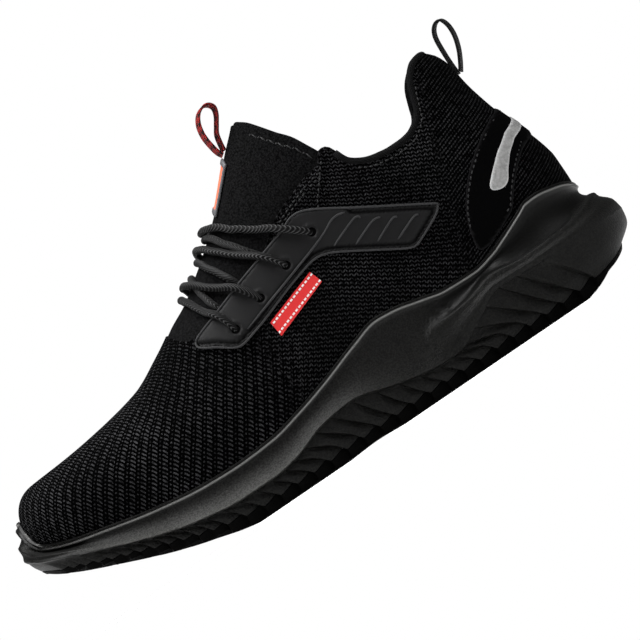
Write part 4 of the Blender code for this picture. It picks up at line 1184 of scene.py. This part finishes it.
moulded = moulded_finish()
for side, name in ((1, "lateral"), (-1, "medial")):
    holes = [circle(x * LENGTH, z * COLLAR_HEIGHT, EYELET / 2) for x, z in EYELETS]
    flat_film = blank(eyestay_outline, 0.0009, holes)
    # Painted shade for the channel, marked on the flat film.
    painted_channel_shade = flat_film.verts.layers.float.new("painted_channel_shade")
    for vert in flat_film.verts:
        vert[painted_channel_shade] = channel(Vector((vert.co.x, vert.co.z)))
    film = drape(flat_film, side, eyestay_top, side_place)
    add_piece("film_" + name, film, moulded, ("eyestay_" + name,), edge=50)
    bm = bmesh.new()
    rim = [on_knit(side_place(p.x), side, p.y, EYESTAY * 0.85) for p in eyestay_outline]
    sweep(bm, rim + rim[:1], round_section(lambda share: 0.00050, 8))
    for line, radius in ((spine_line, 0.00048), *((line, 0.00044) for line in rib_lines)):
        bar = smooth_path([on_knit(side_place(p.x), side, p.y, EYESTAY) for p in line], 8)
        sweep(bm, bar,
              round_section(lambda share: radius * (0.5 + 0.5 * ease(share * 8) * ease((1 - share) * 8)), 8))
    bmesh.ops.recalc_face_normals(bm, faces=bm.faces)
    # Every corner of the rim and the ribs carries the painted highlight.
    painted_edge_highlight = bm.verts.layers.float.new("painted_edge_highlight")
    for vert in bm.verts:
        vert[painted_edge_highlight] = 1.0
    add_piece("film_ribs_" + name, bm, moulded)
    bm = bmesh.new()
    for x, z in EYELETS:
        low, high = (on_knit(side_place(x * LENGTH), side, z * COLLAR_HEIGHT, lift)
                     for lift in (0.0001, 0.0008))
        turn = (high - low).to_track_quat("Z", "Y").to_matrix().to_4x4()
        bmesh.ops.create_cone(bm, cap_ends=True, segments=16, radius1=EYELET / 2 + 0.0003,
                              radius2=EYELET / 2 + 0.0001,
                              depth=0.0006, matrix=Matrix.Translation((low + high) / 2) @ turn)
    hole_finish = Finish("eyelet_shadow_" + name, Base_Color=(0.001, 0.001, 0.001, 1), Roughness=0.9,
                         Specular_IOR_Level=0.05)
    add_piece("eyelet_depths_" + name, bm, hole_finish.material, edge=30)

# Laces
# One round braided lace: a bar at the vamp end, then three crossings. Each run leaves from under an eyestay
# and enters the next eyelet across from above. The ends stop inside, under the top eyelets.
LACE = 0.0034
ON_TONGUE_LACE = ON_TONGUE + 1.5 * GAP + LACE / 2
ON_EYESTAY_LACE = EYESTAY + 0.0011 + LACE / 2
UNDER_WALL = -(WALL + 0.6 * LACE)
# Courses of the cords on the outer side, from the eyelet or from under the edge up to the ridge: share of the
# way down the side, and x. A crossing has one that goes over the edge, one from under it, and where they
# cross.
BAR = ((0.632, 0.559), (0.550, 0.568), (0.454, 0.581), (0.331, 0.592), (0.150, 0.602), (0.000, 0.605))
CROSSINGS = (
    (((0.629, 0.507), (0.554, 0.523), (0.463, 0.542), (0.347, 0.563), (0.160, 0.583), (0.000, 0.591)),
     ((0.512, 0.562), (0.417, 0.571), (0.306, 0.576), (0.166, 0.579), (0.000, 0.577)), 0.20),
    (((0.665, 0.449), (0.609, 0.462), (0.511, 0.485), (0.393, 0.509), (0.261, 0.528), (0.100, 0.541),
      (0.000, 0.545)),
     ((0.522, 0.520), (0.415, 0.533), (0.280, 0.547), (0.120, 0.555), (0.000, 0.557)), -0.16),
    (((0.700, 0.394), (0.591, 0.429), (0.478, 0.461), (0.344, 0.489), (0.134, 0.515), (0.000, 0.524)),
     ((0.558, 0.471), (0.464, 0.489), (0.322, 0.509), (0.125, 0.525), (0.000, 0.530)), -0.11),
)
HUMP = 0.45


def course_x(course, share):
    """x of a course at a share of the way down."""
    for (a, x), (b, x_next) in zip(course, course[1:]):
        if share >= b:
            return (x_next + (x - x_next) * min(1.0, (share - b) / (a - b))) * LENGTH
    return course[-1][1] * LENGTH


def eyelet_share(number, side):
    x, z = EYELETS[number]
    return 1 - station(side_place(x * LENGTH), side).rise_at(z * COLLAR_HEIGHT) / (math.pi / 2)


def edge_share(x, side):
    """Share of the way down at which the throat's edge lies."""
    return 1 - station(side_place(x), side).rise_under(TOPLINE, THROAT_END) / (math.pi / 2)


def cord_point(x, side, share, lift):
    return form_point(side_place(x), side, math.pi / 2 * (1 - share), lift)


def lace_half(course, other, side, eyelet, hidden, lift_at):
    """Half a run, from its eyelet up to the ridge: from under the edge where hidden, else over it."""
    points = []
    end = eyelet_share(eyelet, side)
    shift = (other[-1][1] - course[-1][1]) * LENGTH
    start = course[0][0]
    for k in range(15):
        share = end * (1 - k / 14)
        x = course_x(course, share) + shift * max(0.0, 1 - share / 0.5)
        if share > start:
            x += (EYELETS[eyelet][0] * LENGTH - x) * (share - start) / max(end - start, 0.001)
        past_edge = share - edge_share(x, side)
        if hidden:
            lift = ON_TONGUE_LACE + (UNDER_WALL - ON_TONGUE_LACE) * ease((past_edge + 0.07) / 0.08)
        else:
            lift = ON_TONGUE_LACE + (ON_EYESTAY_LACE - ON_TONGUE_LACE) * ease((past_edge + 0.10) / 0.13)
            lift -= (ON_EYESTAY_LACE + 0.0010) * ease((share - end + 0.075) / 0.075)
        lift += lift_at(side * share) + tongue_lift(side_place(x), side, 0) - ON_TONGUE
        points.append(cord_point(x, side, share, lift))
    return points


def lace_run(row, side):
    """A crossing's run, from under one side's edge up over the ridge into the other side's eyelet."""
    over, under, cross = CROSSINGS[row]
    on_top = side < 0

    def lift_at(way):
        hump = max(0.0, 1 - ((way - cross) / HUMP) ** 2) ** 1.5
        return hump * LACE * (0.42 if on_top else -0.34)
    if on_top:
        halves = (lace_half(under, over, -1, row, True, lift_at),
                  lace_half(over, over, 1, row + 1, False, lift_at))
    else:
        halves = (lace_half(under, under, 1, row, True, lift_at),
                  lace_half(over, under, -1, row + 1, False, lift_at))
    return halves[0] + halves[1][-2::-1]


def lace_chain(side):
    """Three runs from one end of the bar up to the top eyelet, and the end inside."""
    points = []
    for row in range(len(CROSSINGS)):
        points += lace_run(row, side)
        side = -side
    top = len(CROSSINGS)
    return points + [cord_point(EYELETS[top][0] * LENGTH, side, eyelet_share(top, side), UNDER_WALL)]


bar = [lace_half(BAR, BAR, side, 0, False, lambda way: 0.0) for side in (1, -1)]
lace_points = lace_chain(-1)[::-1] + bar[1] + bar[0][-2::-1] + lace_chain(1)
lace_path = smooth_path(lace_points, 4)
lace_finish = Finish("lace_braid", Roughness=0.7, Specular_IOR_Level=0.12)
along, up = lace_finish.flat()
turn = up / (math.pi * LACE)
plait = (along / 0.0021 + turn).wave() * 0.7 + (along / 0.0021 - turn * 2).wave() * 0.3
plait_height = plait.between(0.50, 0.95)
# The braid's raised strands are coloured light as painted glints, and its hollows near black as painted shade.
lace_braid = lace_finish.done(colour=lace_finish.mix(plait_height, (0.0010, 0.0010, 0.0010),
                                                     (0.075, 0.075, 0.076)),
                              relief=plait_height, depth=0.0004)
bm = bmesh.new()
sweep(bm, lace_path, round_section(lambda share: LACE / 2, 14))
bmesh.ops.recalc_face_normals(bm, faces=bm.faces)
add_piece("braided_lace", bm, lace_braid,
          ("lace_bar", "lace_cross_1", "lace_cross_2", "lace_cross_3"))

# Heel counter and reflective stripe
# A band of smooth microfibre, stitched round the heel over the knit, with a narrow reflective tape on it.
COUNTER = 0.0009
REFLECTOR = 0.0004
COUNTER_TOP = ((-0.02, 0.712), (0.068, 0.705), (0.087, 0.689), (0.110, 0.659), (0.136, 0.618), (0.157, 0.579),
               (0.177, 0.529), (0.192, 0.481), (0.203, 0.426), (0.212, 0.343))
COUNTER_LOW = ((0.200, 0.330), (0.166, 0.358), (0.147, 0.378), (0.136, 0.392), (0.131, 0.409), (0.110, 0.469),
               (0.090, 0.513), (0.072, 0.547), (0.046, 0.567), (-0.02, 0.575))
STRIPE_TOP = ((-0.02, 0.662), (0.060, 0.647), (0.085, 0.618), (0.110, 0.576), (0.130, 0.535), (0.146, 0.498),
              (0.147, 0.481))
STRIPE_LOW = ((0.137, 0.468), (0.126, 0.467), (0.118, 0.480), (0.110, 0.510), (0.095, 0.552), (0.077, 0.585),
              (0.054, 0.612), (-0.02, 0.622))


def heel_place(x, z):
    """Place along the outline where the heel's skin stands at x, at a height."""
    low, high = 0.0, HEEL_ARC + 0.06
    for _ in range(30):
        middle = (low + high) / 2
        here = station(round(middle, 7), 1)
        if here.point(here.rise_at(z)).x < x:
            low = middle
        else:
            high = middle
    return low


def round_heel(top, low):
    """A band's outline in places and heights, from one side round the heel to the other."""
    line = [Vector((heel_place(x * LENGTH, z * COLLAR_HEIGHT) if x > 0 else 0.0, z * COLLAR_HEIGHT))
            for x, z in (*top, *low)]
    line = [line[0]] + [p for p in line[1:-1] if p.x > 0.001] + [line[-1]]
    return line + [Vector((-p.x, p.y)) for p in line[-2:0:-1]]


def heel_drape(bm, top):
    """Lays a blank, drawn in signed places and heights, round the heel."""
    flat = bm.loops.layers.uv.get("flat") or bm.loops.layers.uv.new("flat")
    drawn = bmesh.ops.extrude_face_region(bm, geom=list(bm.faces))["geom"]
    upper = {v for v in drawn if isinstance(v, bmesh.types.BMVert)}
    spots = {v: v.co.copy() for v in bm.verts}
    for vert, spot in spots.items():
        place, side = abs(spot.x), 1 if spot.x >= 0 else -1
        rise = station(place, side).rise_at(spot.z)
        lift = top(Vector((spot.x, spot.z))) if vert in upper else -0.0004
        vert.co = form_point(place, side, rise, knit_lift(place, side, rise) + lift)
    for face in bm.faces:
        for loop in face.loops:
            loop[flat].uv = (spots[loop.vert].x, spots[loop.vert].z)
    bmesh.ops.recalc_face_normals(bm, faces=bm.faces)
    return bm


counter_outline = rounded(round_heel(COUNTER_TOP, COUNTER_LOW), 0.004)
stripe_outline = rounded(round_heel(STRIPE_TOP, STRIPE_LOW), 0.002)
counter_finish = Finish("counter_felt", Roughness=0.9, Specular_IOR_Level=0.01)
nap = counter_finish.noise(counter_finish.spot(), 1500.0, 3.0, 0.65)
painted_counter_edge_highlight = counter_finish.node("ShaderNodeAttribute", {"attribute_name": "painted_counter_edge_highlight"}, out="Fac")
felt = counter_finish.mix(nap, (0.0005, 0.0005, 0.0006), (0.0022, 0.0022, 0.0023))
# A painted highlight lightens the band along its edges.
counter_felt = counter_finish.done(colour=counter_finish.mix(painted_counter_edge_highlight, felt, (0.012, 0.012, 0.0125)),
                                   relief=nap, depth=0.00012)
flat_band = blank(counter_outline, 0.0014)
painted_edge_highlight = flat_band.verts.layers.float.new("painted_counter_edge_highlight")
for vert in flat_band.verts:
    away = away_from(Vector((vert.co.x, vert.co.z)), counter_outline, True)
    vert[painted_edge_highlight] = 0.8 * (1 - ease(away / 0.0009))
band = heel_drape(flat_band,
                  lambda p: COUNTER * (0.35 + 0.65 * ease(away_from(p, counter_outline, True) / 0.0016)))
add_piece("counter_band", band, counter_felt, ("heel_counter",), edge=50)
tape_finish = Finish("reflective_tape", Specular_IOR_Level=0.4)
beads = tape_finish.cells(tape_finish.spot(), 1500.0)
specks = tape_finish.noise(tape_finish.spot(), 500.0, 3.0, 0.7)
bright = tape_finish.node("ShaderNodeAttribute", {"attribute_name": "bright"}, out="Fac")
silver = tape_finish.mix(specks.between(0.25, 0.75), (0.20, 0.20, 0.198), (0.33, 0.33, 0.325))
tape = tape_finish.done(colour=tape_finish.mix(bright, silver, (0.44, 0.44, 0.44)),
                        rough=0.42 + specks * 0.2, relief=beads, depth=0.0001)
flat_stripe = blank(stripe_outline, 0.0010)
rim_mark = flat_stripe.verts.layers.float.new("bright")
for vert in flat_stripe.verts:
    away = away_from(Vector((vert.co.x, vert.co.z)), stripe_outline, True)
    vert[rim_mark] = 1 - ease((away - 0.0003) / 0.0006)
stripe = heel_drape(flat_stripe,
                    lambda p: COUNTER + REFLECTOR * ease(away_from(p, stripe_outline, True) / 0.0005))
add_piece("stripe_tape", stripe, tape, ("heel_reflector",), edge=50)

# Side label
# A tab of woven red tape, caught under the eyestay's edge on the outer side. It is plain but for two rows
# of white stitches.
TAG = 0.0006
TAG_OUTLINE = ((0.515, 0.529), (0.4275, 0.595), (0.421, 0.547), (0.5125, 0.472))
TAG_MIDDLE = 0.1094     # length up to the middle of the tab, and from there to each sewn line
TAG_SEWN = 0.0022
TAG_RUN = (0.950, 0.311)     # cosine and sine of the tab's slant
tag_outline = in_sizes(TAG_OUTLINE)
tag_finish = Finish("label_weave", Roughness=0.7, Specular_IOR_Level=0.2)
along, up = tag_finish.flat()
tag_weave = ((along + up) / 0.0006).wave() * 0.5 + ((along - up) / 0.0006).wave() * 0.5
tag_along, tag_up = along * TAG_RUN[0] - up * TAG_RUN[1], along * TAG_RUN[1] + up * TAG_RUN[0]
sewn = (0.00040 - abs(abs(tag_up - TAG_MIDDLE) - TAG_SEWN)).between(-0.0001, 0.0001)
sewn = sewn * (tag_along / 0.0020).wave().between(0.20, 0.35)
red = tag_finish.mix(tag_weave, (0.50, 0.017, 0.018), (0.78, 0.036, 0.036))
label_weave = tag_finish.done(colour=tag_finish.mix(sewn, red, (0.80, 0.78, 0.78)),
                              relief=tag_weave + sewn * 2,
                              depth=0.00012)
tag = drape(blank(tag_outline, 0.0012), 1, lambda p: 0.0003 + TAG, side_place)
add_piece("label_tab", tag, label_weave, ("side_label",), edge=40)

# Tongue badge
# A soft moulded patch sewn on the front of the tongue: a dark raised frame round a plain orange-red field
# with slanted grooves.
BADGE = 0.0013
BADGE_WIDTH = 0.0212
BADGE_SPAN = (0.443, 0.500)


def badge_edge(place, side):
    here = station(place, side)
    rise = math.pi / 2
    while abs(here.point(rise).y - here.spine.y) < BADGE_WIDTH / 2 * 0.92:
        rise -= math.radians(0.25)
    return rise


badge_finish = Finish("badge_patch", Specular_IOR_Level=0.4)
along, up = badge_finish.flat()
badge_frame = badge_finish.node("ShaderNodeAttribute", {"attribute_name": "framed"}, out="Fac")
badge_grain = badge_finish.noise(badge_finish.spot(), 1500.0, 2.0)
field = badge_finish.mix(badge_grain, (0.76, 0.125, 0.062), (0.92, 0.19, 0.095))
badge_patch = badge_finish.done(colour=badge_finish.mix(badge_frame, field, (0.075, 0.075, 0.08)),
                                rough=0.45 + badge_grain * 0.15, relief=badge_grain, depth=0.0001)
bm = bmesh.new()
framed = bm.verts.layers.float.new("framed")
badge_places = spread(place_at(BADGE_SPAN[0] * LENGTH), place_at(BADGE_SPAN[1] * LENGTH), 0.0006)
badge_rows = 14
for side in (1, -1):
    knots, marks = [], []
    for i, place in enumerate(badge_places):
        edge = badge_edge(place, side)
        column = []
        for j in range(badge_rows + 1):
            share = j / badge_rows
            rim = min(i, len(badge_places) - 1 - i) * 0.0006
            rim = min(rim, share * BADGE_WIDTH / 2)
            on_frame = 1 - ease((rim - 0.0018) / 0.0006)
            groove_cut = ease((math.sin((i * 0.0006 - share * 0.006) / 0.0030 * math.tau) - 0.55) / 0.3)
            lift = ON_TONGUE + BADGE * (0.55 + 0.45 * on_frame) - 0.0002 * groove_cut * (1 - on_frame)
            lift -= 0.0005 * (1 - ease(rim / 0.0005))
            column.append(form_point(place, side, edge + (math.pi / 2 - edge) * share, lift))
            marks.append(on_frame)
        knots.append(column)
    made = lay(bm, knots)
    rows = badge_rows + 1
    spots = {tuple(round(c, 7) for c in knots[k // rows][k % rows]): marks[k] for k in range(len(marks))}
    for vert in made:
        vert[framed] = spots[tuple(round(c, 7) for c in vert.co)]
    if side > 0:
        bmesh.ops.reverse_faces(bm, faces=list({face for vert in made for face in vert.link_faces}))
bmesh.ops.remove_doubles(bm, verts=bm.verts, dist=0.00003)
add_piece("badge_plate", bm, badge_patch, ("tongue_badge",), wall=0.0009, edge=45)

# Pull loops
# Woven tapes folded to a loop: one sewn to the tongue above the badge, one to the back of the collar.
RIBBON = 0.0011
RIBBON_WIDTH = 0.008
TONGUE_LOOP = (
    (0.4347, 1.095), (0.4393, 1.118), (0.4425, 1.165), (0.4420, 1.200), (0.4380, 1.232), (0.4300, 1.257),
    (0.4190, 1.268), (0.4110, 1.262), (0.4070, 1.245), (0.4100, 1.220), (0.4180, 1.191), (0.4250, 1.165),
    (0.4282, 1.135), (0.4300, 1.105),
)
HEEL_LOOP = (
    (0.0855, 0.874), (0.0860, 0.915), (0.0857, 0.955), (0.0840, 1.010), (0.0800, 1.040), (0.0730, 1.058),
    (0.0650, 1.062), (0.0600, 1.050), (0.0575, 1.022), (0.0590, 0.985), (0.0645, 0.945), (0.0725, 0.908),
    (0.0805, 0.878),
)


def tape_section(share):
    """A flat tape with rounded selvedges."""
    half, thick = RIBBON_WIDTH / 2, RIBBON / 2
    corners = [(-half, 0.0), (-half + 0.0004, thick), (half - 0.0004, thick), (half, 0.0),
               (half - 0.0004, -thick), (-half + 0.0004, -thick)]
    ring = []
    for (a, b), (c, d) in zip(corners, corners[1:] + corners[:1]):
        count = 8 if abs(a - c) > half else 1
        ring += [(a + (c - a) * k / count, b + (d - b) * k / count) for k in range(count)]
    return ring + ring[:1]


for name, line, dark, light, turned, node in (
        ("tongue_pull", TONGUE_LOOP, (0.005, 0.004, 0.004), (0.42, 0.022, 0.020), -0.22, "tongue_loop"),
        ("heel_pull", HEEL_LOOP, (0.002, 0.002, 0.002), (0.012, 0.012, 0.012), 0.22, "heel_loop")):
    finish = Finish(name + "_weave", Roughness=0.75, Specular_IOR_Level=0.15)
    along, up = finish.flat()
    yarns = (along / 0.0008).wave() * ((up / 0.0008).wave() * 0.5 + 0.5)
    zigzag = (abs((up / 0.0030).part() - 0.5) * 1.2 + along / 0.0040).wave().between(0.45, 0.55)
    shade = finish.mix(zigzag, dark, light)
    weave = finish.done(colour=finish.mix(yarns, finish.mix(0.45, shade, dark), shade), relief=yarns,
                        depth=0.0003)
    bm = bmesh.new()
    path = smooth_path([Vector((x * LENGTH, 0, z * COLLAR_HEIGHT)) for x, z in line], 8)
    sweep(bm, path, tape_section, side_axis=Vector((turned, 1, 0)).normalized())
    bmesh.ops.recalc_face_normals(bm, faces=bm.faces)
    add_piece(name, bm, weave, (node,), edge=40)

# Seams
# Lockstitches in black thread: two rows beside the throat, one under the collar's edge and round the
# heel counter, and a zigzag inside the tongue's hem.
THREAD = 0.00042
# x and height, in mm, along the seam down the fold beside the tongue
FOLD_SEAM = ((97.0, 114.0), (98.8, 112.2), (101.0, 109.2), (103.4, 106.2), (105.8, 103.2), (108.0, 100.6),
             (109.5, 98.0))
thread_finish = Finish("thread", Roughness=0.6, Specular_IOR_Level=0.2)
thread_twist = thread_finish.noise(thread_finish.spot(), 4000.0, 2.0)
thread = thread_finish.done(colour=thread_finish.mix(thread_twist, (0.003, 0.003, 0.003),
                                                     (0.030, 0.030, 0.031)))


def stitches(bm, line, pitch, length):
    """Short raised stitches along a line of points with their outward normals."""
    run, due = 0.0, pitch / 2
    for (a, out), (b, _) in zip(line, line[1:]):
        step = (b - a).length
        while step > 0 and due < run + step:
            at = a.lerp(b, (due - run) / step)
            along = (b - a).normalized()
            across_line = out.cross(along).normalized()
            turn = Matrix((along * length / 2, across_line * THREAD,
                           out * THREAD * 0.8)).transposed().to_4x4()
            bmesh.ops.create_icosphere(bm, subdivisions=1, radius=1, matrix=Matrix.Translation(at) @ turn)
            due += pitch
        run += step


def seam_line(places, side, rise_of, lift):
    line = []
    for place in places:
        rise = rise_of(place, side)
        low = form_point(place, side, rise, lift)
        line.append((low, (form_point(place, side, rise, lift + 0.001) - low).normalized()))
    return line


def below_edge(distance):
    def rise_of(place, side):
        here = station(place, side)
        edge = here.point(here.rise_under(TOPLINE, THROAT_END))
        return here.rise_at(edge.z - distance)
    return rise_of


bm = bmesh.new()
for side in (1, -1):
    for distance in (0.0022, 0.0038):
        line = seam_line(spread(place_at(0.335 * LENGTH), place_at(0.625 * LENGTH), 0.003), side,
                         below_edge(distance), 0.0002)
        stitches(bm, line, 0.0026, 0.0021)
    line = seam_line(spread(place_at(0.150 * LENGTH), place_at(0.290 * LENGTH), 0.002), side,
                     below_edge(0.0034), 0.0008)
    stitches(bm, line, 0.0024, 0.0019)
    fold = [(on_knit(side_place(x * 0.001), side, z * 0.001, 0.0004),
             on_knit(side_place(x * 0.001), side, z * 0.001, 0.0014))
            for x, z in FOLD_SEAM]
    stitches(bm, [(low, (high - low).normalized()) for low, high in fold], 0.0024, 0.0018)
    hem = []
    for k, place in enumerate(spread(place_at(0.333 * LENGTH), place_at(HEM_TOP - 0.003), 0.0013)):
        here = station(place, side)
        top = here.point(here.rise_under(HEM, HEM_TOP))
        rise = here.rise_at(top.z - (0.0042 if k % 2 else 0.0060))
        low = form_point(place, side, rise, ON_TONGUE)
        hem.append((low, (form_point(place, side, rise, 0.0) - low).normalized()))
    for (a, out), (b, _) in zip(hem, hem[1:]):
        stitches(bm, [(a, out), (b, out)], (b - a).length * 1.001, (b - a).length)
for outline, inset in ((COUNTER_TOP, 0.0018), (COUNTER_LOW, -0.0018)):
    for side in (1, -1):
        line = []
        points = [(heel_place(x * LENGTH, z * COLLAR_HEIGHT) if x > 0 else 0.0, z * COLLAR_HEIGHT)
                  for x, z in outline]
        for place, z in points[:-1] if outline is COUNTER_TOP else points[2:]:
            rise = station(place, side).rise_at(z - inset)
            lift = knit_lift(place, side, rise) + COUNTER
            low = form_point(place, side, rise, lift)
            line.append((low, (form_point(place, side, rise, lift + 0.001) - low).normalized()))
        stitches(bm, line, 0.0026, 0.0020)
add_piece("seam_stitches", bm, thread)

# Steel toe cap
# The solid stays as it is, inside the knit: pressed steel with a worn zinc coat.
steel_finish = Finish("toe_steel", Metallic=1.0)
scratches = steel_finish.noise(steel_finish.spot(), 260.0, 4.0, 0.7)
steel = steel_finish.done(colour=steel_finish.mix(scratches, (0.38, 0.38, 0.39), (0.55, 0.55, 0.56)),
                          rough=0.32 + scratches * 0.2, relief=scratches, depth=0.00005)
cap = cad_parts["toe_cap"]
cap.data.materials.clear()
cap.data.materials.append(steel)

# Studio
# A pale sheet of paper under soft white light, with the camera rolled as the photo shows the shoe.
ROLL = math.radians(34.2)
AZIMUTH = math.radians(0.8)
DISTANCE = 2.6
WIDTH = 0.2783
LEVEL = -0.0216     # how far the camera stands under its aim, as a share of the distance
PAPER = 0.8
AIM = Vector((0.0627, 0.0, 0.0582))
AROUND = 0.12     # light from all round, beside which the lamps draw the forms

paper_finish = Finish("paper", Roughness=0.9, Specular_IOR_Level=0.1, Emission_Color=(1, 1, 1, 1),
                      Emission_Strength=0.25)
paper = paper_finish.done(colour=(0.64, 0.64, 0.64))
bm = bmesh.new()
bmesh.ops.create_grid(bm, x_segments=8, y_segments=8, size=PAPER)
mesh = bpy.data.meshes.new("paper_floor")
bm.to_mesh(mesh)
bm.free()
floor = bpy.data.objects.new("paper_floor", mesh)
floor.data.materials.append(paper)
bpy.context.scene.collection.objects.link(floor)

world = bpy.data.worlds.new("studio")
world.use_nodes = True
nodes, links = world.node_tree.nodes, world.node_tree.links
nodes["Background"].inputs["Color"].default_value = (1, 1, 1, 1)
seen = nodes.new("ShaderNodeLightPath")
level = nodes.new("ShaderNodeMapRange")
level.inputs["To Min"].default_value = AROUND
level.inputs["To Max"].default_value = 1.0
links.new(seen.outputs["Is Camera Ray"], level.inputs["Value"])
links.new(level.outputs["Result"], nodes["Background"].inputs["Strength"])
bpy.context.scene.world = world
bpy.context.scene.view_settings.view_transform = "Standard"

for name, place, size, power in (
        ("overhead", (0.30, 0.04, 1.25), 1.0, 33.0),
        ("front_left", (0.90, 0.60, 0.80), 0.7, 3.5),
        ("rear_right", (-0.75, 0.55, 0.85), 0.7, 3.5)):
    light = bpy.data.lights.new(name, "AREA")
    light.shape = "DISK"
    light.size = size
    light.energy = power
    lamp = bpy.data.objects.new(name, light)
    bpy.context.scene.collection.objects.link(lamp)
    lamp.location = place
    lamp.rotation_euler = (AIM - Vector(place)).to_track_quat("-Z", "Y").to_euler()

camera_data = bpy.data.cameras.new("camera")
camera_data.sensor_width = 36.0
camera_data.lens = 36.0 * DISTANCE / WIDTH
camera = bpy.data.objects.new("camera", camera_data)
bpy.context.scene.collection.objects.link(camera)
place = AIM + Vector((math.sin(AZIMUTH), math.cos(AZIMUTH), LEVEL)) * DISTANCE
ahead = (AIM - place).normalized()
right = ahead.cross(Vector((0, 0, 1))).normalized()
up = right.cross(ahead)
turned_right = right * math.cos(ROLL) - up * math.sin(ROLL)
turned_up = right * math.sin(ROLL) + up * math.cos(ROLL)
camera.matrix_world = (Matrix.Translation(place)
                       @ Matrix((turned_right, turned_up, -ahead)).transposed().to_4x4())
bpy.context.scene.camera = camera
